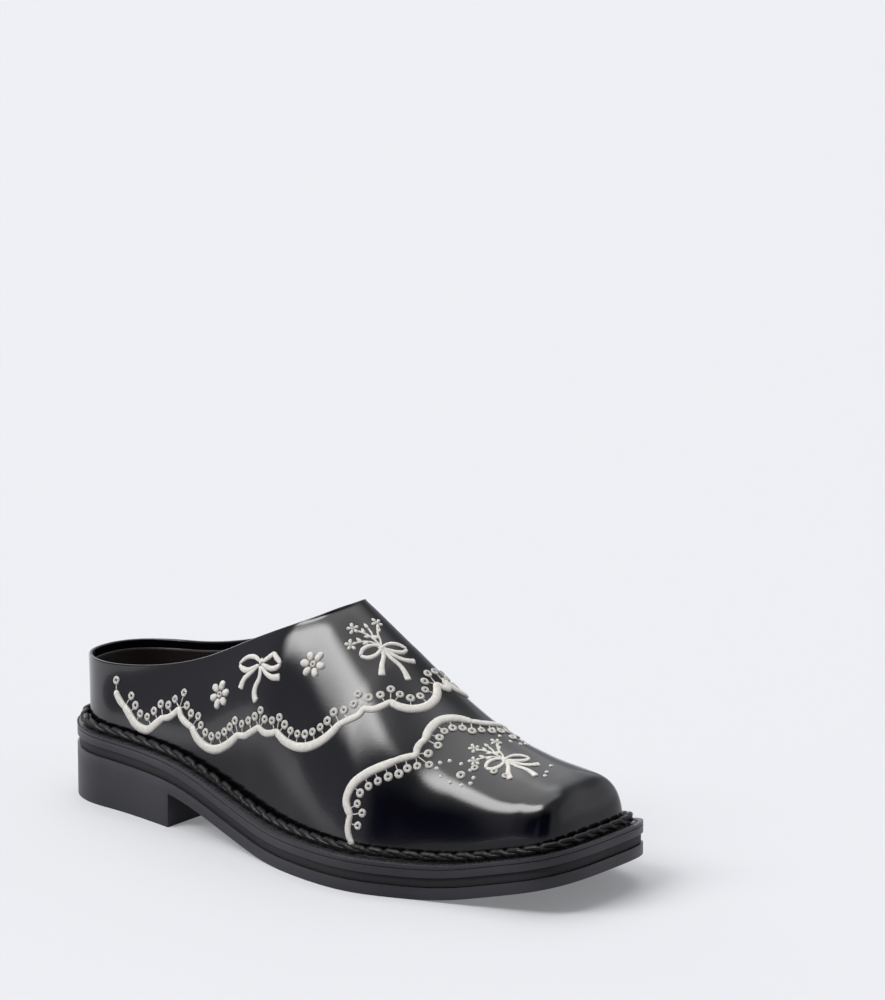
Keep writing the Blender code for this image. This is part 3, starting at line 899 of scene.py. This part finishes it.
def surfaceAt(side, x, share):
    # the outer face at a length along the sole, in mm, and a share up the wall
    i = float(np.interp(x / 1000, stationX, np.arange(len(stationX))))
    j = min(max(share, 0.0), 1.0) * wallSteps
    i0, j0 = min(int(i), lastStation - 1), min(int(j), wallSteps - 1)
    di, dj = i - i0, j - j0
    sheet = outer[side]
    low = sheet[i0, j0] * (1 - di) + sheet[i0 + 1, j0] * di
    high = sheet[i0, j0 + 1] * (1 - di) + sheet[i0 + 1, j0 + 1] * di
    return low * (1 - dj) + high * dj


def seatOnLeather(points):
    # the leather's nearest points and its smooth normals there
    spots, normals = [], []
    for point in points:
        spot, _, face, _ = skin.find_nearest(Vector(point))
        normal = Vector()
        for corner in skinFaces[face]:
            normal += skinNormals[corner] / ((skinPoints[corner] - spot).length + 1e-6)
        spots.append(spot)
        normals.append(normal.normalized())
    return np.array(spots), np.array(normals)


def evenPath(points, step):
    # a smooth path through these points, at even steps
    points = np.asarray(points, float)
    run = runOf(points)
    slope = np.diff(points, axis=0) / np.diff(run)[:, None]
    tangent = np.concatenate((slope[:1], (slope[:-1] + slope[1:]) / 2, slope[-1:]))
    if len(points) > 2:
        tangent[0] = 1.5 * slope[0] - 0.5 * tangent[1]
        tangent[-1] = 1.5 * slope[-1] - 0.5 * tangent[-2]
    dense = []
    for i in range(len(slope)):
        gap = run[i + 1] - run[i]
        for t in np.arange(0, 1, 0.05):
            dense.append((2 * t**3 - 3 * t**2 + 1) * points[i] + (t**3 - 2 * t**2 + t) * gap * tangent[i]
                         + (3 * t**2 - 2 * t**3) * points[i + 1] + (t**3 - t**2) * gap * tangent[i + 1])
    dense = np.array(dense + [points[-1]])
    run = runOf(dense)
    count = max(2, round(run[-1] / step)) + 1
    return pointsAt(run, dense, np.linspace(0, run[-1], count))


thread = {
    "step": 0.0006, "sink": 0.00012, "deep": 0.00025, "around": 10, "fullness": 0.65,
    "spread": 1.3, "thin": 0.35,
    "wavers": ((0.030, 3100, 900, 0.0), (0.02, 5300, 0, 1.7)),
}


def layBand(name, points, widths, rise, step=None, around=None, blunt=(1.0, 1.0)):
    # a raised band along these points; widths are pairs of share and full width,
    # and blunt tells how round each end is
    step = step or thread["step"]
    around = around or thread["around"]
    path = evenPath(points, step)
    run = runOf(path)
    ends = widths[0][1] / 2, widths[-1][1] / 2
    turn = np.radians((0, 35, 62, 90))
    first = ends[0] * blunt[0] * (1 - np.cos(turn))
    final = run[-1] - ends[1] * blunt[1] * (1 - np.cos(turn))[::-1]
    between = np.linspace(first[-1], final[0], max(2, round((final[0] - first[-1]) / step)) + 1)[1:-1]
    at = np.concatenate((first, between, final))
    spots, normals = seatOnLeather(pointsAt(run, path, at))
    half = np.interp(at / run[-1], [share for share, _ in widths], [width / 2 for _, width in widths])
    half *= 1 + sum(much * np.sin(at * pace + spots[:, 0] * drift + start)
                    for much, pace, drift, start in thread["wavers"])
    cap = np.ones(len(at))
    cap[:4] = np.sin(turn)
    cap[-4:] = np.sin(turn)[::-1]
    sideways = unitRows(np.cross(normals, unitRows(np.gradient(spots, axis=0))))
    fatness = thread["thin"] + (1 - thread["thin"]) * half / half.max()
    above = rise * cap * fatness + thread["sink"]
    centres = spots - normals * thread["sink"]
    return layTube(name, centres, sideways, normals, half * cap, above, thread["deep"] * cap, around, False,
                   thread["fullness"])


def finishThread(piece):
    closeUp(piece, "thread")
    finishPiece(piece, ivoryThread, "ivory_thread")


# Scallops of the collar's and the toe's lines: kind, then lengths along the sole in mm and shares up the wall
scallops = {
    "big": {"width": 0.0043, "rise": 0.0011, "reach": 0.0054},
    "small": {"width": 0.0033, "rise": 0.0010, "reach": 0.0050},
    "notchReach": 0.0061, "cuspReach": 0.0072, "endReach": 0.0052, "ringPitch": 0.0040,
    "taper": ((0.0, 0.78), (0.15, 0.92), (0.5, 1.0), (0.85, 0.92), (1.0, 0.78)),
    "collar": (
        ("small", (31.08, .5986), (33.2, .52), (35.9, .4512), (37.2, .43)),
        ("big", (37.2, .43), (39.94, .3609), (45.07, .2428), (52.29, .2124), (57.88, .3167), (61.07, .3788)),
        ("small", (61.07, .3788), (64.6, .395), (67.85, .4436), (70.4, .495)),
        ("small", (70.4, .495), (72, .425), (74.51, .3812), (79.7, .3415)),
        ("big", (79.7, .3415), (85.23, .2429), (93.52, .2181), (101.39, .2732), (107.84, .3514)),
        ("small", (107.84, .3514), (112, .355), (115.76, .3814), (120.25, .4035)),
        ("small", (120.25, .4035), (123.93, .3604), (130.25, .3437)),
        ("big", (130.25, .3437), (135.14, .2996), (143.87, .2875), (152.03, .3166),
         (159.53, .3755), (164.54, .4466)),
        ("small", (164.54, .4466), (168.29, .4831), (172.24, .5293), (173.34, .5678)),
        ("small", (173.34, .5678), (177.69, .5982), (180.47, .642), (182.32, .6851)),
        ("big", (182.32, .6851), (186.97, .7031), (191.74, .7512), (194.14, .8188),
         (193.14, .9021), (188.68, .9632)),
    ),
    "middle": ((188.68, .9632), (192.3, 1.0), (188.68, .9632)),
    "toe": (
        ("small", (185.08, .0393), (181.65, .0855), (181.69, .1484)),
        ("big", (181.69, .1484), (177.97, .1917), (179.51, .2599), (185.38, .3308), (194.54, .4291),
         (196.29, .453)),
        ("small", (196.29, .453), (198.44, .4807), (203.54, .5437)),
        ("small", (203.54, .5437), (202.29, .5861), (202.89, .6514)),
        ("big", (202.89, .6514), (201.67, .7079), (201.68, .795), (204.45, .8768), (208.6, .9353)),
    ),
    "toeMiddle": ((-1, 208.60, 0.9353), (1, 212.43, 0.9676), (1, 213.05, 0.7727)),
    "toeShift": (0.0050, 0.0078), "toeMirror": 0.0006, "endWay": (-0.16, 0.0, 1.0),
    "drawStep": 0.0004, "overlap": 0.0009, "pitchStep": 0.04, "pitchTries": 14,
}


def lineOf(table, side):
    return [(kind, [surfaceAt(side, x, share) for x, share in spots]) for kind, *spots in table]


def backwards(line):
    return [(kind, points[::-1]) for kind, points in line[::-1]]


# each line runs over the foot from the lateral to the medial side
(backX, backShare), (midX, midShare), _ = scallops["middle"]
middleSpots = ((-1, backX, backShare), (-1, midX, midShare), (1, backX, backShare))
collarMiddle = [surfaceAt(*spot) for spot in middleSpots]
collarStitchLine = lineOf(scallops["collar"], -1) + [("small", collarMiddle)]
collarStitchLine += backwards(lineOf(scallops["collar"], 1))
toeLateral = lineOf(scallops["toe"], -1)
toeMiddle = [surfaceAt(*spot) for spot in scallops["toeMiddle"]]
lowZ, highZ = toeLateral[0][1][0][2], toeLateral[2][1][-1][2]
shiftLow, shiftMore = scallops["toeShift"]


def acrossToe(point):
    # the lateral point's counterpart, which lies further forward the higher it is
    rise = (point[2] - lowZ) / (highZ - lowZ)
    return np.array((point[0] + shiftLow + shiftMore * rise, scallops["toeMirror"] - point[1], point[2]))


toeMedial = [(kind, [acrossToe(point) for point in points]) for kind, points in backwards(toeLateral[:3])]
toeMedial[0][1][0] = toeMiddle[-1]
toeStitchLine = toeLateral + [("small", toeMiddle)] + toeMedial


# one ring of thread round an eyelet, of which every other is a copy
ring = {
    "major": 0.00120, "minor": 0.00074, "height": 0.00050, "sides": 12, "round": 6, "seat": 0.00022,
    "uneven": 0.06, "unevenPace": 7.3, "askew": 0.25, "askewPace": 3.1,
}
ringStem = {"start": 0.00135, "width": 0.00052, "rise": 0.00030, "step": 0.0011, "around": 5}
bpy.ops.object.select_all(action="DESELECT")
bpy.ops.mesh.primitive_torus_add(major_segments=ring["sides"], minor_segments=ring["round"],
                                 major_radius=ring["major"], minor_radius=ring["minor"])
firstRing = bpy.context.active_object
firstRing.name = "eyeletRing"


def layRing(spot, normal, ahead, size=1.0):
    # a copy of the ring seated on the leather
    sideways = unit(np.cross(normal, ahead))
    ahead = np.cross(sideways, normal)
    flat = ring["height"] / ring["minor"]
    axes = np.stack((ahead * size, sideways * size, normal * flat), 1)
    return copyTurned(firstRing, "eyeletRing", axes, spot + normal * ring["seat"])


def ringWithStem(line, way, reach, pieces, turn):
    # a ring beyond a point of the line, on a thin stem
    spots, normals = seatOnLeather([line + way * reach])
    spot, normal = spots[0], normals[0]
    outward = unit(way - normal * way.dot(normal))
    askew = ring["askew"] * math.sin(ring["askewPace"] * turn)
    ahead = unit(outward + askew * np.cross(normal, outward))
    size = 1 + ring["uneven"] * math.sin(ring["unevenPace"] * turn)
    pieces.append(layRing(spot, normal, ahead, size))
    start = spot - outward * ringStem["start"]
    widths = [(0, ringStem["width"]), (1, ringStem["width"])]
    pieces.append(layBand("stem", [start, (start + line) / 2, line], widths, ringStem["rise"],
                          step=ringStem["step"], around=ringStem["around"]))


def ringPlace(line, way, reach):
    spots, _ = seatOnLeather([line + way * reach])
    return spots[0]


def clearOf(spot, others, distance):
    return all(np.linalg.norm(spot - other) > distance for other in others)


def stringRings(row, standing, pitch):
    # indices along the row at which a ring stands a pitch clear of the others
    found, others = [], list(standing)
    for i, spot in enumerate(row):
        if clearOf(spot, others, pitch):
            others.append(spot)
            found.append(i)
    return found


def evenRings(row, standing):
    # as many rings as fit, with their gaps evened out
    pitch = scallops["ringPitch"]
    count = len(stringRings(row, standing, pitch))
    tries = [stringRings(row, standing, pitch * (1 + scallops["pitchStep"] * k))
             for k in range(scallops["pitchTries"])]
    return [found for found in tries if len(found) == count][-1]


def layLine(name, line, inward):
    # the scallops of one line, their rings on the side that inward tells
    bands, rows, joints = [], [], []
    for kind, points in line:
        form = scallops[kind]
        widths = [(share, form["width"] * part) for share, part in scallops["taper"]]
        path = evenPath(points, scallops["drawStep"])
        first = points[0] - unit(path[1] - path[0]) * scallops["overlap"]
        final = points[-1] + unit(path[-1] - path[-2]) * scallops["overlap"]
        drawn = np.concatenate(([first], points[1:-1], [final]))
        bands.append(layBand("scallop", drawn, widths, form["rise"]))
        spots, normals = seatOnLeather(path)
        ways = unitRows(np.cross(normals, np.gradient(spots, axis=0)) * inward)
        rows.append((spots, ways, form["reach"]))
        joints.append((kind, spots[0], ways[0], spots[-1], ways[-1]))
    ends = [(joints[0][1], joints[0][2], scallops["notchReach"])]
    for before, after in zip(joints, joints[1:]):
        reach = scallops["cuspReach"] if before[0] == after[0] else scallops["notchReach"]
        ends.append((before[3], unit(before[4] + after[2]), reach))
    ends.append((joints[-1][3], joints[-1][4], scallops["notchReach"]))
    rings = []
    for spot, way, reach in ends[1:-1]:
        ringWithStem(spot, way, reach, rings, len(rings))
    standing = [ringPlace(*end) for end in ends]
    for spots, ways, reach in rows:
        row = spots + ways * reach
        for i in evenRings(row, standing):
            standing.append(row[i])
            ringWithStem(spots[i], ways[i], reach, rings, len(rings))
    bands = joinPieces(bands, name + "Scallops")
    rings = joinPieces(rings, name + "Rings")
    return bands, rings, joints


collarBand, collarRings, collarJoints = layLine("collar", collarStitchLine, 1)
toeBand, toeRings, _ = layLine("toe", toeStitchLine, -1)
endRings = []
upward = unit(np.array(scallops["endWay"]))
for end, spot in enumerate((collarJoints[0][1], collarJoints[-1][3])):
    ringWithStem(spot, upward, scallops["endReach"], endRings, end)
collarRings = joinPieces([collarRings, *endRings], "collarRings")
for piece in (collarBand, toeBand, collarRings, toeRings):
    finishThread(piece)
print("scallops laid", len(collarBand.data.polygons), len(collarRings.data.polygons))


# Motifs are drawn in mm round a point of the leather: u towards the toe, v upwards
def motifFrame(side, x, share):
    spots, normals = seatOnLeather([surfaceAt(side, x, share)])
    normal = normals[0]
    forward = unit(np.array((1.0, 0, 0)) - normal * normal[0])
    upward = np.cross(normal, forward)
    return spots[0], forward, upward if upward[2] > 0 else -upward


def onFrame(frame, points, scale=1.0, angle=0.0):
    origin, forward, upward = frame
    c, s = math.cos(math.radians(angle)), math.sin(math.radians(angle))
    return [origin + ((u * c - v * s) * forward + (u * s + v * c) * upward) * scale / 1000 for u, v in points]


def stroke(frame, points, widths, rise=0.0007, scale=1.0, angle=0.0, **form):
    # a satin stroke; widths in mm are spread evenly along it
    spread = [(i / (len(widths) - 1), width * thread["spread"] * scale / 1000)
              for i, width in enumerate(widths)]
    return layBand("stroke", onFrame(frame, points, scale, angle), spread, rise, around=8, **form)


petal = {"widths": (0.50, 0.95, 1.0, 0.72), "uneven": 0.05, "turnPace": 5, "reachPace": 3.7}


def petals(frame, middle, count, inner, outer, width, turn, rise, scale=1.0, angle=0.0):
    # a flower of plump petals
    pieces = []
    for k in range(count):
        a = 2 * math.pi * k / count + math.radians(turn)
        a += petal["uneven"] * math.sin(petal["turnPace"] * k + turn)
        far = outer * (1 + petal["uneven"] * math.sin(petal["reachPace"] * k + turn))
        c, s = math.cos(a), math.sin(a)
        points = [(middle[0] + r * c, middle[1] + r * s) for r in (inner, (inner + far) / 2, far)]
        spread = [width / thread["spread"] * share for share in petal["widths"]]
        pieces.append(stroke(frame, points, spread, rise, scale, angle))
    return pieces


def eyelet(frame, middle, size, scale=1.0, angle=0.0):
    spots, normals = seatOnLeather(onFrame(frame, [middle], scale, angle))
    return layRing(spots[0], normals[0], frame[1], size * scale)


daisies = {
    "places": ((94.03, 0.6172, 24), (142.70, 0.6054, 4)),
    "petals": 6, "inner": 1.7, "outer": 6.2, "width": 3.5, "rise": 0.0011, "eyelet": 0.80,
}
flowers = []
for side in (-1, 1):
    for x, share, turn in daisies["places"]:
        frameHere = motifFrame(side, x, share)
        flowers += petals(frameHere, (0, 0), daisies["petals"], daisies["inner"], daisies["outer"],
                          daisies["width"], turn, daisies["rise"])
        flowers.append(eyelet(frameHere, (0, 0), daisies["eyelet"]))
finishThread(joinPieces(flowers, "daisies"))

# the ribbon bow between the daisies: strokes and their widths
bow = {
    "place": (115.56, 0.7799),
    "strokes": (
        (((-0.9, 1.3), (-4.6, 2.6), (-8.6, 2.1), (-11.6, 0.3), (-13.4, -1.9)),
         (1.5, 1.7, 1.8, 1.6, 1.0), (1, 1)),
        (((-13.4, -1.9), (-11.0, -3.3), (-7.1, -3.5), (-4.2, -2.2), (-1.0, -0.4)),
         (1.1, 2.2, 2.0, 1.7, 1.3), (1, 1)),
        (((0.8, 1.3), (3.0, 2.6), (5.4, 4.5), (7.0, 6.4)), (1.4, 1.7, 1.9, 1.3), (1, 1)),
        (((7.0, 6.4), (8.3, 4.6), (10.0, 3.6), (12.3, 1.9)), (1.3, 2.1, 2.0, 1.3), (1, 1)),
        (((12.3, 1.9), (9.6, -0.2), (6.6, -0.8), (3.4, -0.2), (0.9, 0.0)), (1.3, 2.0, 2.0, 1.8, 1.3), (1, 1)),
        (((-0.6, -0.4), (-4.6, -4.0), (-8.2, -7.4), (-9.7, -12.0)), (1.2, 1.7, 2.2, 2.7), (1, 0.3)),
        (((0.2, -0.6), (1.4, -5.5), (-0.2, -10.0), (-0.1, -13.2), (1.8, -16.0)),
         (1.2, 1.8, 2.1, 2.4, 2.9), (1, 0.3)),
        (((0.8, -0.5), (4.4, -2.9), (8.8, -4.3), (13.4, -3.4)), (1.2, 1.7, 2.1, 2.8), (1, 0.3)),
        (((-1.2, 0.9), (0.0, 1.2), (1.3, 0.9)), (2.2, 2.8, 2.2), (1, 1)),
    ),
}
bows = []
for side in (-1, 1):
    frameHere = motifFrame(side, *bow["place"])
    bows += [stroke(frameHere, points, widths, blunt=blunt) for points, widths, blunt in bow["strokes"]]
finishThread(joinPieces(bows, "ribbonBows"))
print("daisies and bows laid")

# a posy tied with a ribbon, on the instep and again on the toe
posy = {
    "ribbon": (
        (((0.0, 0.3), (-3.4, -2.2), (-5.0, -6.0), (-3.9, -9.6)), (1.1, 1.5, 1.8, 1.2), (1, 1)),
        (((-3.9, -9.6), (-0.6, -8.2), (1.0, -4.6), (0.3, 0.0)), (1.2, 1.9, 1.6, 1.1), (1, 1)),
        (((0.2, 0.2), (1.2, 4.4), (4.2, 7.6), (7.8, 8.8)), (1.1, 1.5, 1.8, 1.2), (1, 1)),
        (((7.8, 8.8), (8.0, 5.6), (5.2, 2.4), (0.4, 0.0)), (1.2, 1.9, 1.6, 1.1), (1, 1)),
        (((0.3, -0.3), (3.8, -3.2), (6.2, -7.4), (9.4, -11.6)), (1.1, 1.6, 1.9, 2.6), (1, 0.3)),
        (((0.3, 0.0), (6.0, -1.4), (12.4, -1.8), (19.0, -5.0)), (1.1, 1.5, 1.8, 2.5), (1, 0.3)),
        (((0.3, 0.2), (5.2, 0.4), (10.6, 2.2), (14.4, 6.2)), (1.1, 1.5, 1.8, 2.5), (1, 0.3)),
        (((-0.9, -1.1), (0.2, 0.0), (1.2, 1.2)), (2.0, 2.4, 2.0), (1, 1)),
    ),
    "stems": (
        ((0.0, 0.2), (-4.0, 1.0), (-8.0, 1.0), (-12.4, -0.4)),
        ((0.0, 0.2), (-2.6, 2.8), (-5.2, 4.6), (-8.2, 8.0)),
        ((0.0, 0.0), (-3.8, -0.6), (-7.0, -2.8), (-9.4, -6.0)),
        ((-5.2, 1.0), (-7.2, 2.8), (-10.2, 4.0)),
    ),
    "leaves": (
        (-4.2, 0.9, 128), (-6.6, 1.1, 222), (-3.4, 3.5, 200), (-6.0, 5.4, 105),
        (-5.4, -1.8, 242), (-7.8, -3.8, 175), (-10.2, 4.0, 165), (-9.6, 0.6, 150),
    ),
    "flowers": ((-14.8, -0.8), (-9.6, 9.6), (-10.6, -8.0)),
    "leafLength": 2.9, "leafWidths": (0.5, 1.5, 1.1, 0.4), "stemWidths": (0.75, 0.75),
    "ribbonRise": 0.0007, "stemRise": 0.0005, "leafRise": 0.0006, "flowerRise": 0.0006,
    "petals": 5, "inner": 0.7, "outer": 2.9, "petalWidth": 1.7, "flowerTurn": 31, "eyelet": 0.42,
}


def layPosy(frame, scale, angle):
    pieces = []
    for points, widths, blunt in posy["ribbon"]:
        pieces.append(stroke(frame, points, widths, posy["ribbonRise"], scale, angle, blunt=blunt))
    for points in posy["stems"]:
        pieces.append(stroke(frame, points, posy["stemWidths"], posy["stemRise"], scale, angle))
    for u, v, heading in posy["leaves"]:
        c, s = math.cos(math.radians(heading)), math.sin(math.radians(heading))
        tip = (u + posy["leafLength"] * c, v + posy["leafLength"] * s)
        pieces.append(stroke(frame, ((u, v), tip), posy["leafWidths"], posy["leafRise"], scale, angle))
    for k, middle in enumerate(posy["flowers"]):
        pieces += petals(frame, middle, posy["petals"], posy["inner"], posy["outer"], posy["petalWidth"],
                         posy["flowerTurn"] * k, posy["flowerRise"], scale, angle)
        pieces.append(eyelet(frame, middle, posy["eyelet"], scale, angle))
    return pieces


posies = {
    "instep": {"place": (-1, 165.86, 0.8668), "scale": 1.0, "angle": 0.0},
    "toe": {"place": (-1, 232.83, 0.8225), "scale": 0.95, "angle": 8.0},
    "eyeletAt": (-9.0, 19.0), "eyelet": 1.05,
    "ovalMiddle": (-11.6, 19.6), "oval": (8.6, 6.2), "dots": 10, "firstDot": 0.35,
    "dotLength": 1.9, "dotWidths": (1.7 * 0.8, 1.7), "dotRise": 0.0006, "dotStep": 0.0008,
    "looseEyelets": ((-6.4, -12.0), (1.6, -9.2), (7.4, -8.8)), "looseEyelet": 0.9,
    "looseDots": ((19.5, 3.6), (16.8, 10.2), (21.0, 0.4)), "looseTurn": 3,
}
stitches = []
for name in ("instep", "toe"):
    form = posies[name]
    stitches += layPosy(motifFrame(*form["place"]), form["scale"], form["angle"])
finishThread(joinPieces(stitches, "tiedPosies"))

# dots sprinkled round an eyelet on either side of the toe's posy
frameHere = motifFrame(*posies["toe"]["place"])
seeds = []


def seedDot(u, v, heading):
    c, s = math.cos(heading), math.sin(heading)
    half = posies["dotLength"] / 2
    ends = ((u - half * c, v - half * s), (u + half * c, v + half * s))
    seeds.append(stroke(frameHere, ends, posies["dotWidths"], posies["dotRise"], step=posies["dotStep"]))


for side in (-1, 1):
    u, v = posies["eyeletAt"]
    seeds.append(eyelet(frameHere, (u, side * v), posies["eyelet"]))
    for k in range(posies["dots"]):
        a = 2 * math.pi * (k + posies["firstDot"]) / posies["dots"]
        (wide, high), (u, v) = posies["oval"], posies["ovalMiddle"]
        seedDot(u + wide * math.cos(a), side * (v + high * math.sin(a)), a)
for spot in posies["looseEyelets"]:
    seeds.append(eyelet(frameHere, spot, posies["looseEyelet"]))
for k, (u, v) in enumerate(posies["looseDots"]):
    seedDot(u, v, k + posies["looseTurn"])
finishThread(joinPieces(seeds, "seedDots"))
bpy.data.objects.remove(firstRing)
print("posies laid")


def direction(azimuth, elevation):
    # the way from the shoe, turned from its lateral side towards the toe and raised from the floor
    a, e = math.radians(azimuth), math.radians(elevation)
    return Vector((math.sin(a) * math.cos(e), -math.cos(a) * math.cos(e), math.sin(e)))


# Camera at the photograph's angle
bpy.ops.object.select_all(action="DESELECT")
view = {
    "azimuth": 38.56, "elevation": 14.75, "distance": 2.17086, "lens": 249.61, "sensor": 36.0,
    "target": (0.48199, -0.53174, 0.33865), "clip": (0.05, 60.0),
}
backward = direction(view["azimuth"], view["elevation"])
camera = bpy.data.objects.new("camera", bpy.data.cameras.new("camera"))
bpy.context.scene.collection.objects.link(camera)
camera.location = Vector(view["target"]) + backward * view["distance"]
camera.rotation_euler = (-backward).to_track_quat("-Z", "Y").to_euler()
camera.data.lens = view["lens"]
camera.data.sensor_width = view["sensor"]
camera.data.clip_start, camera.data.clip_end = view["clip"]
bpy.context.scene.camera = camera

# Floor: evenly pale and glowing to the camera. To all other rays, the leather's reflections among them, it is
# darker as painted shade, and behind the heel it glows brighter as a painted highlight on the heel's side
bpy.ops.mesh.primitive_plane_add(size=40.0, location=(0, 0, 0))
floor = bpy.context.active_object
floor.name = "paleFloor"
# the floor's colour and glow as the camera sees them, then darker ones for other rays (painted shade in
# reflections) and a bright glow behind the heel (painted highlight)
floorLook = {
    "seen": (0.415, 0.418, 0.430, 1), "shadedInReflections": (0.285, 0.287, 0.300, 1),
    "glowSeen": (0.190, 0.192, 0.196, 1), "glowShadedInReflections": (0.10, 0.10, 0.104, 1),
    "paintedHighlightBehindHeel": (0.95, 0.95, 1.00, 1), "near": -0.16, "far": -0.42,
}
floorMaterial, floorTree, floorShader = newMaterial("paleFloor", {
    "Roughness": 0.9, "Specular IOR Level": 0.1, "Emission Strength": 1.0,
})
seenRays = addNode(floorTree, "ShaderNodeLightPath").outputs["Is Camera Ray"]
spotOnFloor = addNode(floorTree, "ShaderNodeTexCoord").outputs["Object"]
alongFloor = addNode(floorTree, "ShaderNodeSeparateXYZ", spotOnFloor).outputs["X"]
# painted highlight: behind the heel the floor glows much brighter to all rays but the camera's, so the heel's
# side shows a lit reflection
behind = faded(floorTree, alongFloor, floorLook["far"], floorLook["near"], 1.0, 0.0)
glow = blended(floorTree, behind, floorLook["glowShadedInReflections"], floorLook["paintedHighlightBehindHeel"])
# painted shade: to every ray but the camera's the floor takes a darker colour and a weaker glow, which
# darkens the leather's reflections
colour = blended(floorTree, seenRays, floorLook["shadedInReflections"], floorLook["seen"])
glow = blended(floorTree, seenRays, glow, floorLook["glowSeen"])
feed(floorTree, floorShader.inputs["Base Color"], colour)
feed(floorTree, floorShader.inputs["Emission Color"], glow)
floor.data.materials.append(floorMaterial)

# Studio light: a soft surround with large soft boxes, all at infinity so that the floor stays even
studio = {
    "horizon": (0.49, 0.49, 0.56), "ceiling": (0.42, 0.43, 0.46), "from": 0.10, "to": 0.60,
    "inFront": 0.05,
    "boxes": (
        {"azimuth": -30, "elevation": 47, "wide": 20, "high": 8.5, "turn": 54, "edge": 0.40, "light": 12.0},
        {"azimuth": -100, "elevation": 75, "wide": 34, "high": 24, "turn": 0, "edge": 0.45, "light": 2.2},
        {"azimuth": -150, "elevation": 38, "wide": 16, "high": 16, "turn": 0, "edge": 0.45, "light": 0.8},
        {"azimuth": 140, "elevation": 20, "wide": 36, "high": 18, "turn": 0, "edge": 0.50, "light": 0.35},
        {"azimuth": -112, "elevation": 4, "wide": 22, "high": 18, "turn": 0, "edge": 0.80, "light": 2.0},
        {"azimuth": -9, "elevation": 14, "wide": 10, "high": 18, "turn": 0, "edge": 0.70, "light": -0.46},
        {"azimuth": 32, "elevation": 20, "wide": 27, "high": 30, "turn": 0, "edge": 0.60, "light": -0.48},
    ),
}
world = bpy.data.worlds.new("studio")
bpy.context.scene.world = world
world.use_nodes = True
tree = world.node_tree
background = tree.nodes["Background"]
where = addNode(tree, "ShaderNodeTexCoord").outputs["Generated"]
upwards = addNode(tree, "ShaderNodeSeparateXYZ", where).outputs["Z"]
fade = faded(tree, upwards, studio["from"], studio["to"])
total = blended(tree, fade, (*studio["horizon"], 1), (*studio["ceiling"], 1))


def lookingAlong(way):
    node = addNode(tree, "ShaderNodeVectorMath", where, way, operation="DOT_PRODUCT")
    return node.outputs["Value"]


for box in studio["boxes"]:
    centreWay = direction(box["azimuth"], box["elevation"])
    level = Vector((0, 0, 1)).cross(centreWay).normalized()
    turn = math.radians(box["turn"])
    sideWay = level * math.cos(turn) + centreWay.cross(level) * math.sin(turn)
    facing = lookingAlong(centreWay)
    mask = calculate(tree, "GREATER_THAN", facing, studio["inFront"])
    for way, half in ((sideWay, box["wide"]), (centreWay.cross(sideWay), box["high"])):
        size = calculate(tree, "ABSOLUTE", calculate(tree, "DIVIDE", lookingAlong(way), facing))
        reach = math.tan(math.radians(half))
        soft = faded(tree, size, reach * (1 - box["edge"]), reach * (1 + box["edge"]), 1.0, 0.0)
        mask = calculate(tree, "MULTIPLY", mask, soft)
    light = (box["light"],) * 3
    glow = addNode(tree, "ShaderNodeVectorMath", light, operation="SCALE", Scale=mask).outputs[0]
    total = addNode(tree, "ShaderNodeVectorMath", total, glow, operation="ADD").outputs[0]
lit = addNode(tree, "ShaderNodeVectorMath", total, operation="MAXIMUM").outputs[0]
feed(tree, background.inputs["Color"], lit)
bpy.context.scene.view_settings.view_transform = "Standard"
print("stage set")
